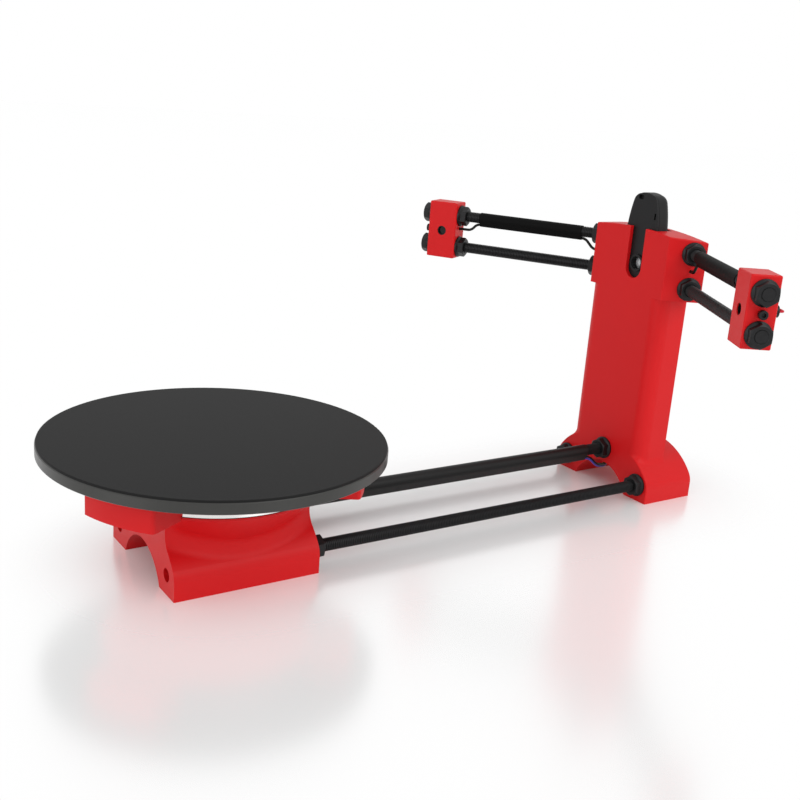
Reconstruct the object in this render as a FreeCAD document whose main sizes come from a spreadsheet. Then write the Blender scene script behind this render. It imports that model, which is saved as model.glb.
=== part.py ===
import FreeCAD, Part
import math
import os
import Sketcher
from types import SimpleNamespace
from FreeCAD import Placement, Rotation, Vector

# Desktop laser scanner: a motor-driven turntable and a tower with a camera, joined by three threaded
# rods, with a line laser at the end of each of the tower's two arms.
# Millimetres. +X runs from the turntable to the tower, +Z is up, Y = 0 is the plane of symmetry, and the
# origin is on the floor, half way along the machine. "left" is the +Y side and "right" the -Y side.

DRIVING_SIZES = {
    # Turntable
    "table_x": -129.75,
    "disc_radius": 100.0,
    "disc_bottom": 67.2,
    "disc_top": 74.9,
    "mat_thick": 1.3,
    "carrier_radius": 87.5,
    "carrier_width": 46.4,
    "carrier_bottom": 48.7,
    "carrier_corner": 2.5,
    # Large thin-section bearing, 105 x 130 x 13
    "race_bore": 52.5,
    "race_outside": 65.0,
    "race_bottom": 50.8,
    "race_width": 13.0,
    "race_pitch": 58.75,
    "ball_radius": 4.55,
    "groove_radius": 4.7,
    # Printed base
    "base_outer": -44.2,
    "base_inner": 45.4,
    "base_half": 48.25,
    "wall_height": 14.0,
    "shoulder_radius": 45.0,
    "shoulder_flat": 9.5,
    "shoulder_top": 35.9,
    "arch_centre": 10.0,
    "arch_radius": 28.6,
    "kink_round": 12.0,
    "cone_blend": 10.0,
    "cone_bottom": 20.0,
    "cone_foot": 36.2,
    "cone_lip": 65.2,
    "cone_top": 50.4,
    "cone_rim": 1.2,
    "well_radius": 47.0,
    "well_floor": 50.0,
    "edge_round": 0.8,
    # Stepper motor, 42 mm square and 28 mm long
    "motor_width": 42.3,
    "motor_top": 46.0,
    "motor_length": 28.0,
    "motor_hole": 15.5,
    "shaft_radius": 2.5,
    # Threaded rods and flanged lock nuts, M8
    "rod_radius": 4.0,
    "side_rod_y": 37.05,
    "side_rod_z": 11.7,
    "middle_rod_z": 28.3,
    "nut_height": 6.5,
    "nut_flats": 13.0,
    "flange_radius": 8.1,
    # Tower
    "tower_front": 183.8,
    "foot_back": 229.75,
    "foot_half": 47.4,
    "foot_arch_radius": 27.7,
    "column_back": 209.45,
    "column_half": 36.0,
    "column_corner": 10.0,
    "column_wall": 3.2,
    "neck_blend": 8.0,
    "head_bottom": 147.0,
    "head_top": 193.2,
    "head_arch_radius": 270.0,
    "head_front_half": 35.4,
    "head_back": 207.15,
    "head_wall": 5.0,
    "slot_half": 7.25,
    "slot_bottom": 157.3,
    # Camera
    "camera_front": 187.0,
    "camera_back": 201.3,
    "camera_y": -5.4,
    "camera_z": 185.0,
    "camera_half": 14.8,
    "camera_side_radius": 94.3,
    "camera_side_reach": 26.5,
    "camera_shoulder_half": 11.0,
    "camera_corner": 7.0,
    "camera_crown_half": 5.5,
    "camera_crown_reach": 31.2,
    "camera_crown_radius": 16.0,
    "camera_wall": 1.6,
    "camera_back_round": 6.2,
    "lens_z": 168.0,
    "lens_ring_radius": 6.0,
    "lens_radius": 4.6,
    # Laser arms
    "arm_x": 199.2,
    "upper_rod_z": 180.3,
    "lower_rod_z": 156.1,
    "holder_start": 114.9,
    "holder_thick": 22.8,
    "holder_depth": 18.2,
    "holder_bottom": 147.2,
    "holder_height": 43.3,
    "laser_z": 168.2,
    "laser_radius": 3.6,
    # Controller board
    "board_back": 191.8,
    "board_thick": 1.6,
    "board_bottom": 50.0,
    "board_height": 76.0,
    "board_half": 30.0,
}

ARM_SWEEP = 31.4
CARRIER_TURN = -30.0
BALLS = 20
SIDES = {"left": 1, "right": -1}

doc = FreeCAD.newDocument("laser_scanner")
sheet = doc.addObject("Spreadsheet::Sheet", "sizes")
nodes = {}


class Size:
    """A length, with the spreadsheet formula that it comes from."""

    def __init__(self, value, text):
        self.value = value
        self.text = text

    def __add__(self, other):
        return Size(number(self) + number(other), "(%s + %s)" % (self.text, formula(other)))

    def __sub__(self, other):
        return Size(number(self) - number(other), "(%s - %s)" % (self.text, formula(other)))

    def __mul__(self, other):
        return Size(number(self) * number(other), "(%s * %s)" % (self.text, formula(other)))

    def __truediv__(self, other):
        return Size(number(self) / number(other), "(%s / %s)" % (self.text, formula(other)))

    def __neg__(self):
        return Size(-self.value, "(-1 * %s)" % self.text)


def number(size):
    return size.value if isinstance(size, Size) else float(size)


def formula(size):
    return size.text if isinstance(size, Size) else "(%.6f)" % size


def leg(hypotenuse, side):
    """The third side of a right triangle."""
    value = math.sqrt(number(hypotenuse) ** 2 - number(side) ** 2)
    text = "sqrt(%s * %s - %s * %s)" % (formula(hypotenuse), formula(hypotenuse),
                                        formula(side), formula(side))
    return Size(value, text)


def fill_sheet():
    for row, (name, value) in enumerate(DRIVING_SIZES.items(), start=1):
        cell = "A%d" % row
        sheet.set(cell, str(value))
        sheet.setAlias(cell, name)
    doc.recompute()
    return SimpleNamespace(**{name: Size(value, "sizes." + name)
                              for name, value in DRIVING_SIZES.items()})


d = fill_sheet()
d.head_back_half = d.head_front_half + (d.head_back - d.tower_front) * math.tan(math.radians(ARM_SWEEP))


# --- Document helpers ---------------------------------------------------------------------------------

def bind(thing, path, size):
    """Ties one property to the spreadsheet."""
    if isinstance(size, Size):
        thing.setExpression(path, size.text)


def place(thing, at=(0, 0, 0), rotation=Rotation()):
    thing.Placement = Placement(Vector(*[number(value) for value in at]), rotation)
    for axis, value in zip("xyz", at):
        bind(thing, "Placement.Base." + axis, value)
    return thing


def keep(label, thing):
    """Makes a document object one of the machine's pieces."""
    thing.Label = label
    nodes[label] = thing
    return thing


def new_body(label, at=(0, 0, 0), rotation=Rotation()):
    body = doc.addObject("PartDesign::Body", label)
    place(body, at, rotation)
    return keep(label, body)


def sketch_on(body, plane, offset=0, side=0, up=0, turn=0):
    """A sketch on one of the body's own planes, moved along its normal and turned about its upright axis."""
    sketch = body.newObject("Sketcher::SketchObject", body.Name + "_sketch")
    origin_plane = [part for part in body.Origin.OriginFeatures if part.Role == plane + "_Plane"][0]
    sketch.AttachmentSupport = [(origin_plane, "")]
    sketch.MapMode = "FlatFace"
    sketch.AttachmentOffset = Placement(Vector(number(side), number(up), number(offset)),
                                        Rotation(Vector(0, 1, 0), turn))
    for axis, value in zip("xyz", (side, up, offset)):
        bind(sketch, "AttachmentOffset.Base." + axis, value)
    return sketch


def pin_point(sketch, item, end, x, y):
    """Fixes one point of a sketch at x, y."""
    for kind, axis, value in (("DistanceX", -2, x), ("DistanceY", -1, y)):
        if not isinstance(value, Size) and value == 0:
            sketch.addConstraint(Sketcher.Constraint("PointOnObject", item, end, axis))
            continue
        index = sketch.addConstraint(Sketcher.Constraint(kind, item, end, number(value)))
        bind(sketch, "Constraints[%d]" % index, value)


def arc_between(start, end, radius, turns_left):
    chord = end - start
    height = math.sqrt(radius ** 2 - (chord.Length / 2) ** 2)
    normal = Vector(-chord.y, chord.x, 0).normalize() * (1 if turns_left else -1)
    centre = (start + end) * 0.5 + normal * height
    angles = [math.atan2(point.y - centre.y, point.x - centre.x) for point in (start, end)]
    if not turns_left:
        angles.reverse()
    return Part.ArcOfCircle(Part.Circle(centre, Vector(0, 0, 1), radius), *angles)


def outline(sketch, corners):
    """A closed outline. A corner is (x, y), or (x, y, radius, "left" or "right") before an arc."""
    points = [Vector(number(corner[0]), number(corner[1]), 0) for corner in corners]
    runs = []
    for index, corner in enumerate(corners):
        start = points[index]
        end = points[(index + 1) % len(points)]
        ends = (1, 2)
        if len(corner) == 4:
            turns_left = corner[3] == "left"
            curve = arc_between(start, end, number(corner[2]), turns_left)
            ends = (1, 2) if turns_left else (2, 1)
        else:
            curve = Part.LineSegment(start, end)
        runs.append((sketch.addGeometry(curve, False), ends))
    for index, corner in enumerate(corners):
        item, ends = runs[index]
        next_item, next_ends = runs[(index + 1) % len(runs)]
        sketch.addConstraint(Sketcher.Constraint("Coincident", item, ends[1], next_item, next_ends[0]))
        pin_point(sketch, item, ends[0], corner[0], corner[1])
        if len(corner) < 4:
            continue
        chord = points[(index + 1) % len(points)] - points[index]
        if abs(chord.y) < 1e-6 and abs(chord.Length - 2 * number(corner[2])) < 1e-6:
            kind, end, value = "DistanceY", (item, 3), corner[1]
        else:
            kind, end, value = "Radius", (item,), corner[2]
        last = sketch.addConstraint(Sketcher.Constraint(kind, *end, number(value)))
        bind(sketch, "Constraints[%d]" % last, value)


def rectangle(sketch, x_low, y_low, x_high, y_high):
    outline(sketch, [(x_low, y_low), (x_high, y_low), (x_high, y_high), (x_low, y_high)])


def circle(sketch, x, y, radius):
    item = sketch.addGeometry(Part.Circle(Vector(number(x), number(y), 0), Vector(0, 0, 1),
                                          number(radius)), False)
    index = sketch.addConstraint(Sketcher.Constraint("Radius", item, number(radius)))
    bind(sketch, "Constraints[%d]" % index, radius)
    pin_point(sketch, item, 3, x, y)


def pad(body, sketch, length):
    feature = body.newObject("PartDesign::Pad", body.Name + "_pad")
    feature.Profile = sketch
    feature.Length = number(length)
    bind(feature, "Length", length)
    return feature


def pocket(body, sketch, length, along_normal=True):
    """Cuts the sketch out of the body, and checks that material went."""
    doc.recompute()
    before = body.Shape.Volume
    feature = body.newObject("PartDesign::Pocket", body.Name + "_pocket")
    feature.Profile = sketch
    feature.Reversed = along_normal
    feature.Length = number(length)
    bind(feature, "Length", length)
    doc.recompute()
    if body.Shape.Volume >= before - 1e-6:
        raise RuntimeError("a pocket of %s cuts nothing" % body.Label)
    return feature


def revolve(body, corners):
    """Turns an outline of (radius, height) corners about the body's Z axis."""
    sketch = sketch_on(body, "XZ")
    outline(sketch, corners)
    feature = body.newObject("PartDesign::Revolution", body.Name + "_turn")
    feature.Profile = sketch
    feature.ReferenceAxis = (sketch, ["V_Axis"])
    feature.Angle = 360.0
    return feature


def polar_pattern(body, originals, count):
    feature = body.newObject("PartDesign::PolarPattern", body.Name + "_pattern")
    feature.Originals = originals
    feature.Axis = ([part for part in body.Origin.OriginFeatures if part.Role == "Z_Axis"][0], [""])
    feature.Angle = 360.0
    feature.Occurrences = count
    body.Tip = feature
    return feature


def round_edges(body, radius, wanted):
    """Rounds the edges of the body's tip whose middle points pass the test."""
    doc.recompute()
    tip = body.Tip
    names = []
    for index, edge in enumerate(tip.Shape.Edges, start=1):
        middle = edge.valueAt((edge.FirstParameter + edge.LastParameter) / 2)
        if wanted(edge, middle):
            names.append("Edge%d" % index)
    if not names:
        raise RuntimeError("no edges to round on " + body.Label)
    feature = body.newObject("PartDesign::Fillet", body.Name + "_fillet")
    feature.Base = (tip, names)
    feature.Radius = number(radius)
    bind(feature, "Radius", radius)
    body.Tip = feature
    return feature


def cylinder(name, radius, length, at=(0, 0, 0), along=Vector(0, 0, 1)):
    thing = doc.addObject("Part::Cylinder", name)
    thing.Radius = number(radius)
    thing.Height = number(length)
    bind(thing, "Radius", radius)
    bind(thing, "Height", length)
    return place(thing, at, Rotation(Vector(0, 0, 1), along))


def box(name, low, high):
    """A box between two corners."""
    thing = doc.addObject("Part::Box", name)
    for side, first, last in zip(("Length", "Width", "Height"), low, high):
        span = last - first if isinstance(last, Size) else Size(number(last), formula(last)) - first
        setattr(thing, side, number(span))
        bind(thing, side, span)
    return place(thing, low)


def cut(name, base, tools):
    """Takes tools away from base."""
    thing = doc.addObject("Part::Cut", name)
    thing.Base = base
    thing.Tool = tools[0] if len(tools) == 1 else join(name + "_tools", tools)
    return thing


def join(name, things):
    thing = doc.addObject("Part::MultiFuse", name)
    thing.Shapes = things
    return thing


def group(label, shape, placements):
    """Several separate copies of one fastener in one node."""
    copies = []
    for placement in placements:
        copy = shape.copy()
        copy.Placement = placement.multiply(copy.Placement)
        copies.append(copy)
    thing = doc.addObject("Part::Feature", label)
    thing.Shape = Part.makeCompound(copies)
    return keep(label, thing)


# --- Fastener shapes, each along +Z from its seat at the origin --------------------------------------

def hex_prism(across_flats, height):
    reach = across_flats / math.sqrt(3)
    corners = [Vector(reach * math.cos(math.radians(60 * step)), reach * math.sin(math.radians(60 * step)), 0)
               for step in range(7)]
    return Part.Face(Part.makePolygon(corners)).extrude(Vector(0, 0, height))


def flanged_nut():
    """A flanged nut: a washer-like flange that slopes up to a hexagon with a turned crown."""
    flats = number(d.nut_flats)
    flange = number(d.flange_radius)
    height = number(d.nut_height)
    bore = number(d.rod_radius)
    rim = 1.2
    slope = 1.3
    crown_slope = 1.7
    crown_top = flats / 2 - 0.3
    countersink = 0.45
    crown = Part.makeCone(crown_top + crown_slope * height, crown_top, height)
    skirt = Part.makeCylinder(flange, rim).fuse(
        Part.makeCone(flange, flats / 2 - 0.2, slope, Vector(0, 0, rim)))
    nut = hex_prism(flats, height).common(crown).fuse(skirt).removeSplitter()
    mouth = Part.makeCone(bore, bore + countersink, countersink, Vector(0, 0, height - countersink))
    return nut.cut(Part.makeCylinder(bore, height)).cut(mouth)


def thin_nut(across_flats, height, bore):
    """A thin nut, turned so that two of its flats come level on a level rod."""
    nut = hex_prism(across_flats, height).cut(Part.makeCylinder(bore, height))
    nut.rotate(Vector(0, 0, 0), Vector(0, 0, 1), 30)
    return nut


def cap_screw(head_radius, head_height, radius, length):
    """A socket-head screw, its head above the seat and its shank below."""
    head = Part.makeCylinder(head_radius, head_height)
    rim = [edge for edge in head.Edges if edge.BoundBox.ZMin > head_height - 0.01]
    head = head.makeFillet(0.35, rim)
    socket = hex_prism(head_radius * 0.92, head_height * 0.55)
    socket.translate(Vector(0, 0, head_height * 0.5))
    shank = Part.makeCylinder(radius, length, Vector(0, 0, -length))
    return head.cut(socket).fuse(shank).removeSplitter()


def pointing(at, along):
    """A placement that turns +Z to a direction."""
    return Placement(Vector(*[number(value) for value in at]), Rotation(Vector(0, 0, 1), along))


# --- Cords ------------------------------------------------------------------------------------------

def cord_solid(label, route, radius, bend_reach):
    """A round cord of straight runs joined by tangent arcs that begin at most bend_reach from a corner."""
    points = [Vector(*point) for point in route]
    edges = []
    radii = []
    last = points[0]
    for before, corner, after in zip(points, points[1:], points[2:]):
        back = (before - corner)
        ahead = (after - corner)
        turn = math.pi - back.getAngle(ahead)
        reach = min(0.45 * min(back.Length, ahead.Length), bend_reach)
        radii.append(reach / math.tan(turn / 2))
        first = corner + back.normalize() * reach
        final = corner + ahead.normalize() * reach
        towards_middle = (back + ahead).normalize()
        depth = radii[-1] / math.cos(turn / 2) - radii[-1]
        edges.append(Part.LineSegment(last, first).toShape())
        edges.append(Part.Arc(first, corner + towards_middle * depth, final).toShape())
        last = final
    edges.append(Part.LineSegment(last, points[-1]).toShape())
    path = Part.Wire(edges)
    section = Part.Wire(Part.Circle(points[0], points[1] - points[0], radius).toShape())
    solid = path.makePipeShell([section], True, False)
    expected = math.pi * radius ** 2 * path.Length
    print("%s: length %.0f mm, radii %s, volume ratio %.4f"
          % (label, path.Length, ", ".join("%.0f" % value for value in radii), solid.Volume / expected))
    return solid


def cord(label, routes, radius, bend_reach=8.0):
    """One node of one or more cords."""
    solids = [cord_solid(label, route, radius, bend_reach) for route in routes]
    thing = doc.addObject("Part::Feature", label)
    thing.Shape = solids[0] if len(solids) == 1 else Part.makeCompound(solids)
    return keep(label, thing)


# --- Base -------------------------------------------------------------------------------------------

MIDDLE_ROD_INSET = 14.0


def shoulder_outline(sketch, half, arch_radius):
    """The arched, round-shouldered section that the base and the tower's foot share."""
    arch_half = leg(arch_radius, d.arch_centre)
    outline(sketch, [
        (half, 0),
        (half, d.wall_height, d.shoulder_radius, "left"),
        (d.shoulder_flat, d.shoulder_top),
        (-d.shoulder_flat, d.shoulder_top, d.shoulder_radius, "left"),
        (-half, d.wall_height),
        (-half, 0),
        (-arch_half, 0, arch_radius, "right"),
        (arch_half, 0),
    ])


def round_end_edges(body, ends):
    """Softens the shoulders' edges on the two end faces, leaving the arch sharp."""
    clear = number(d.arch_radius) + 2
    drop = number(d.arch_centre)
    round_edges(body, d.edge_round, lambda edge, middle: (
        min(abs(middle.x - end) for end in ends) < 0.01 and middle.z > 1
        and math.hypot(middle.y, middle.z + drop) > clear))


def round_kinks(body, half):
    """Eases the lines where the upright sides turn into the shoulders."""
    level = number(d.wall_height)
    round_edges(body, d.kink_round, lambda edge, middle: (
        abs(abs(middle.y) - number(half)) < 0.01 and abs(middle.z - level) < 0.01))


def blend_cone(body):
    """Rounds the crease where the bearing seat's cone grows out of the shoulders."""
    length = number(d.base_inner - d.base_outer)
    half = number(d.cone_foot)
    shoulder_z = number(d.shoulder_top)
    floor_z = number(d.cone_bottom)
    round_edges(body, d.cone_blend, lambda edge, middle: (
        abs(edge.BoundBox.XLength - length) < 0.01 and half < abs(middle.y) < half + 6
        and floor_z < middle.z < shoulder_z))


def make_base():
    body = new_body("base_body", (d.table_x, 0, 0))
    saddle = sketch_on(body, "YZ", offset=d.base_outer)
    shoulder_outline(saddle, d.base_half, d.arch_radius)
    pad(body, saddle, d.base_inner - d.base_outer)
    round_kinks(body, d.base_half)
    spigot_top = d.race_bottom + 10.5
    pad_radius = d.race_bore + 3.6
    revolve(body, [
        (0, d.cone_bottom),
        (d.cone_foot, d.cone_bottom),
        (d.cone_lip, d.cone_top - d.cone_rim),
        (d.cone_lip, d.cone_top),
        (pad_radius, d.cone_top),
        (pad_radius, d.race_bottom),
        (d.race_bore, d.race_bottom),
        (d.race_bore, spigot_top),
        (d.well_radius, spigot_top),
        (d.well_radius, d.well_floor),
        (0, d.well_floor),
    ])
    blend_cone(body)
    pocket_half = d.motor_width / 2 + 0.2
    socket_half = 8.5
    socket_reach = d.motor_width / 2 + 13
    well = sketch_on(body, "XY")
    outline(well, [
        (-pocket_half, -pocket_half), (pocket_half, -pocket_half), (pocket_half, -socket_half),
        (socket_reach, -socket_half), (socket_reach, socket_half), (pocket_half, socket_half),
        (pocket_half, pocket_half), (-pocket_half, pocket_half),
    ])
    pocket(body, well, 26.0)
    motor_well = sketch_on(body, "XY")
    rectangle(motor_well, -pocket_half, -pocket_half, pocket_half, pocket_half)
    pocket(body, motor_well, d.motor_top)
    plate_holes = sketch_on(body, "XY", offset=d.motor_top - 2)
    circle(plate_holes, 0, 0, 11.5)
    for x_sign in (1, -1):
        for y_sign in (1, -1):
            circle(plate_holes, d.motor_hole * x_sign, d.motor_hole * y_sign, 1.7)
    pocket(body, plate_holes, 8.0)
    rod_holes = sketch_on(body, "YZ", offset=d.base_outer - 1)
    for sign in (1, -1):
        circle(rod_holes, d.side_rod_y * sign, d.side_rod_z, d.rod_radius)
    pocket(body, rod_holes, d.base_inner - d.base_outer + 2)
    middle_hole = sketch_on(body, "YZ", offset=d.motor_width / 2 + MIDDLE_ROD_INSET)
    circle(middle_hole, 0, d.middle_rod_z, d.rod_radius)
    pocket(body, middle_hole, d.base_inner)
    nut_room = sketch_on(body, "YZ", offset=d.base_inner)
    circle(nut_room, 0, d.middle_rod_z, d.flange_radius + 0.5)
    pocket(body, nut_room, d.nut_height + 4)


# --- Turntable --------------------------------------------------------------------------------------

SCREW_CIRCLE = 77.0
HUB_BOTTOM = 52.8
SHAFT_END = 66.4


def arm_points(radius):
    """Corners of a carrier arm along +X between its two long sides, on a circle."""
    half = d.carrier_width / 2
    return leg(radius, half), half


def carrier_arm(body, bottom, inside):
    """One arm of the carrier, from a level up to the disc."""
    sketch = sketch_on(body, "XY", offset=bottom)
    outer_x, half = arm_points(d.carrier_radius)
    inner_x, half = arm_points(inside)
    outline(sketch, [
        (inner_x, -half), (outer_x, -half, d.carrier_radius, "left"),
        (outer_x, half), (inner_x, half, inside, "right"),
    ])
    return pad(body, sketch, d.disc_bottom - bottom)


def make_carrier():
    turn = Rotation(Vector(0, 0, 1), CARRIER_TURN)
    body = new_body("table_carrier", (d.table_x, 0, 0), turn)
    race_top = d.race_bottom + d.race_width
    plate_bottom = race_top + 0.5
    hub_radius = 10.0
    well_plug_radius = d.well_radius - 1.5
    plate_radius = d.race_pitch + 3.75
    revolve(body, [
        (0, HUB_BOTTOM), (hub_radius, HUB_BOTTOM), (hub_radius, 59), (well_plug_radius, 59),
        (well_plug_radius, plate_bottom), (plate_radius, plate_bottom), (plate_radius, d.disc_bottom),
        (0, d.disc_bottom),
    ])
    plate = carrier_arm(body, race_top, d.race_pitch + 2.6)
    grip = carrier_arm(body, d.race_bottom + 0.6, d.race_outside)
    skirt = carrier_arm(body, d.carrier_bottom, d.cone_lip + 1)
    polar_pattern(body, [plate, grip, skirt], 3)
    radius = number(d.carrier_radius)
    round_edges(body, d.carrier_corner, lambda edge, middle: (
        math.hypot(middle.x, middle.y) > radius - 0.5
        and abs(edge.tangentAt(edge.FirstParameter).z) > 0.9))
    shaft_hole = sketch_on(body, "XY", offset=HUB_BOTTOM - 1)
    circle(shaft_hole, 0, 0, d.shaft_radius)
    pocket(body, shaft_hole, SHAFT_END - HUB_BOTTOM + 1)
    grub_hole = sketch_on(body, "YZ")
    circle(grub_hole, 0, 55.8, 1.5)
    pocket(body, grub_hole, 12.0)
    for radius, depth in ((3.2, 9.5), (1.7, 20.0)):
        holes = sketch_on(body, "XY", offset=d.carrier_bottom - 1)
        for step in range(3):
            angle = math.radians(120 * step)
            circle(holes, SCREW_CIRCLE * math.cos(angle), SCREW_CIRCLE * math.sin(angle), radius)
        pocket(body, holes, depth)


def make_disc():
    body = new_body("turntable_disc", (d.table_x, 0, 0), Rotation(Vector(0, 0, 1), CARRIER_TURN))
    top = d.disc_top - d.mat_thick
    bevel = 0.5
    revolve(body, [
        (0, d.disc_bottom), (d.disc_radius - bevel, d.disc_bottom), (d.disc_radius, d.disc_bottom + bevel),
        (d.disc_radius, top - bevel), (d.disc_radius - bevel, top), (0, top),
    ])
    holes = sketch_on(body, "XY", offset=d.disc_bottom)
    for step in range(3):
        angle = math.radians(120 * step)
        circle(holes, SCREW_CIRCLE * math.cos(angle), SCREW_CIRCLE * math.sin(angle), 1.5)
    pocket(body, holes, 5.0)
    mat = new_body("turntable_mat", (d.table_x, 0, 0))
    mat_radius = d.disc_radius - 0.5
    lip = 0.5
    revolve(mat, [
        (0, top), (mat_radius, top), (mat_radius, d.disc_top - lip, lip, "left"),
        (mat_radius - lip, d.disc_top), (0, d.disc_top),
    ])


def make_disc_screws():
    seat = number(d.carrier_bottom) + 8.5
    screw = cap_screw(2.75, 3.0, 1.5, 14.5)
    places = []
    for step in range(3):
        angle = math.radians(120 * step + CARRIER_TURN)
        at = (number(d.table_x) + SCREW_CIRCLE * math.cos(angle), SCREW_CIRCLE * math.sin(angle), seat)
        places.append(pointing(at, Vector(0, 0, -1)))
    group("disc_screws", screw, places)


def race(label, edge_radius, back_radius):
    """A bearing race: a turned ring with a ball groove in the face at edge_radius."""
    body = new_body(label, (d.table_x, 0, 0))
    bottom = d.race_bottom
    top = d.race_bottom + d.race_width
    centre = d.race_bottom + d.race_width / 2
    reach = leg(d.groove_radius, Size(abs(number(edge_radius) - number(d.race_pitch)), formula(
        edge_radius - d.race_pitch)))
    corners = [(edge_radius, bottom), (back_radius, bottom), (back_radius, top), (edge_radius, top),
               (edge_radius, centre + reach), (edge_radius, centre - reach)]
    inner = number(edge_radius) < number(back_radius)
    corners[4] = corners[4] + (d.groove_radius, "right")
    if not inner:
        corners = [(back_radius, bottom), (edge_radius, bottom),
                   (edge_radius, centre - reach, d.groove_radius, "right"), (edge_radius, centre + reach),
                   (edge_radius, top), (back_radius, top)]
    revolve(body, corners)


def make_bearing():
    race("bearing_inner_race", d.race_pitch - 2.3, d.race_bore)
    race("bearing_outer_race", d.race_pitch + 2.3, d.race_outside)
    centre = Vector(number(d.table_x), 0, number(d.race_bottom + d.race_width / 2))
    spots = []
    for step in range(BALLS):
        angle = 2 * math.pi * step / BALLS
        spots.append(centre + Vector(math.cos(angle), math.sin(angle), 0) * number(d.race_pitch))
    ball = Part.makeSphere(number(d.ball_radius))
    group("bearing_balls", ball, [Placement(spot, Rotation()) for spot in spots])
    cage_half = 5.7
    foot = centre - Vector(0, 0, cage_half)
    ring = Part.makeCylinder(number(d.race_pitch) + 1.4, 2 * cage_half, foot)
    ring = ring.cut(Part.makeCylinder(number(d.race_pitch) - 1.4, 2 * cage_half, foot))
    holes = [Part.makeCylinder(number(d.ball_radius) + 0.1, 8, spot - (spot - centre).normalize() * 4,
                               (spot - centre).normalize()) for spot in spots]
    cage = doc.addObject("Part::Feature", "bearing_cage")
    cage.Shape = ring.cut(Part.makeCompound(holes))
    keep("bearing_cage", cage)


def motor_block(label, bottom, top, bore):
    """A square motor section with cut corners and a round bore."""
    body = new_body(label, (d.table_x, 0, 0))
    half = d.motor_width / 2
    corner = half - 4.5
    sketch = sketch_on(body, "XY", offset=bottom)
    outline(sketch, [
        (half, -corner), (half, corner), (corner, half), (-corner, half),
        (-half, corner), (-half, -corner), (-corner, -half), (corner, -half),
    ])
    pad(body, sketch, top - bottom)
    if bore is not None:
        hole = sketch_on(body, "XY", offset=bottom - 1)
        circle(hole, 0, 0, bore)
        pocket(body, hole, top - bottom + 2)
    return body


def make_motor():
    top = d.motor_top
    bottom = d.motor_top - d.motor_length
    front_seam = top - 8
    rear_seam = bottom + 8
    bore = d.shaft_radius + 0.05
    front = motor_block("motor_front_cap", front_seam, top, bore)
    pilot = sketch_on(front, "XY", offset=top - 1)
    circle(pilot, 0, 0, 11)
    circle(pilot, 0, 0, bore)
    pad(front, pilot, 3.0)
    cavity = sketch_on(front, "XY", offset=front_seam - 1)
    circle(cavity, 0, 0, 14)
    pocket(front, cavity, 6.0)
    holes = sketch_on(front, "XY", offset=front_seam - 1)
    for x_sign in (1, -1):
        for y_sign in (1, -1):
            circle(holes, d.motor_hole * x_sign, d.motor_hole * y_sign, 1.5)
    pocket(front, holes, 10.0)
    motor_block("motor_stator", rear_seam, front_seam, 13.3)
    rear = motor_block("motor_rear_cap", bottom, rear_seam, None)
    cavity = sketch_on(rear, "XY", offset=bottom + 2.5)
    circle(cavity, 0, 0, 14)
    pocket(rear, cavity, 8.0)
    axle = (d.table_x, 0)
    rotor = cylinder("rotor_core", 13.0, d.motor_length - 9.5, axle + (bottom + 4,))
    bore_tool = cylinder("rotor_bore", d.shaft_radius, d.motor_length, axle + (bottom,))
    keep("motor_rotor", cut("motor_rotor", rotor, [bore_tool]))
    shaft_foot = bottom + 3.2
    shaft_length = Size(SHAFT_END, "(%.6f)" % SHAFT_END) - shaft_foot
    keep("motor_shaft", cylinder("motor_shaft", d.shaft_radius, shaft_length, axle + (shaft_foot,)))
    side = d.table_x + d.motor_width / 2
    keep("motor_socket", box("motor_socket", (side, -7.5, bottom + 1.5), (side + 5.5, 7.5, bottom + 7.5)))
    seat = number(d.well_floor)
    spots = [(number(d.table_x) + x_sign * 15.5, y_sign * 15.5, seat) for x_sign in (1, -1)
             for y_sign in (1, -1)]
    screw = cap_screw(2.75, 3.0, 1.5, 9.0)
    group("motor_mount_screws", screw, [pointing(spot, Vector(0, 0, 1)) for spot in spots])
    turn = math.radians(CARRIER_TURN)
    outward = Vector(math.cos(turn), math.sin(turn), 0)
    start = Vector(number(d.table_x), 0, 55.8) + outward * 2.6
    keep("hub_grub_screw", cylinder("hub_grub_screw", 1.5, 6.5, tuple(start), outward))


# --- Rods between the base and the tower ---------------------------------------------------------------

SLEEVE_WALL = 0.4


def wrapped_pair(large, small, drop):
    """The outline of a band pulled tight round two discs, the small one straight below the large one."""
    lean = math.asin((large - small) / drop)
    right = Vector(math.cos(lean), -math.sin(lean), 0)
    left = Vector(-right.x, right.y, 0)
    low = Vector(0, -drop, 0)
    return Part.Wire([
        Part.LineSegment(low + right * small, right * large).toShape(),
        Part.Arc(right * large, Vector(0, large, 0), left * large).toShape(),
        Part.LineSegment(left * large, low + left * small).toShape(),
        Part.Arc(low + left * small, low - Vector(0, small, 0), low + right * small).toShape(),
    ])


def sleeve(label, start, along, length, rod_radius, cord_radius):
    """A thin sleeve pulled tight round a rod and the cord under it."""
    drop = rod_radius + cord_radius
    outside = Part.Face(wrapped_pair(rod_radius + SLEEVE_WALL, cord_radius + SLEEVE_WALL, drop))
    inside = Part.Face(wrapped_pair(rod_radius, cord_radius, drop))
    solid = outside.cut(inside).extrude(Vector(0, 0, length))
    across = Vector(0, 0, 1).cross(along)
    frame = Rotation(across, Vector(0, 0, 1), along, "ZXY")
    thing = doc.addObject("Part::Feature", label)
    thing.Shape = solid
    thing.Placement = Placement(start, frame)
    return keep(label, thing)


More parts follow.
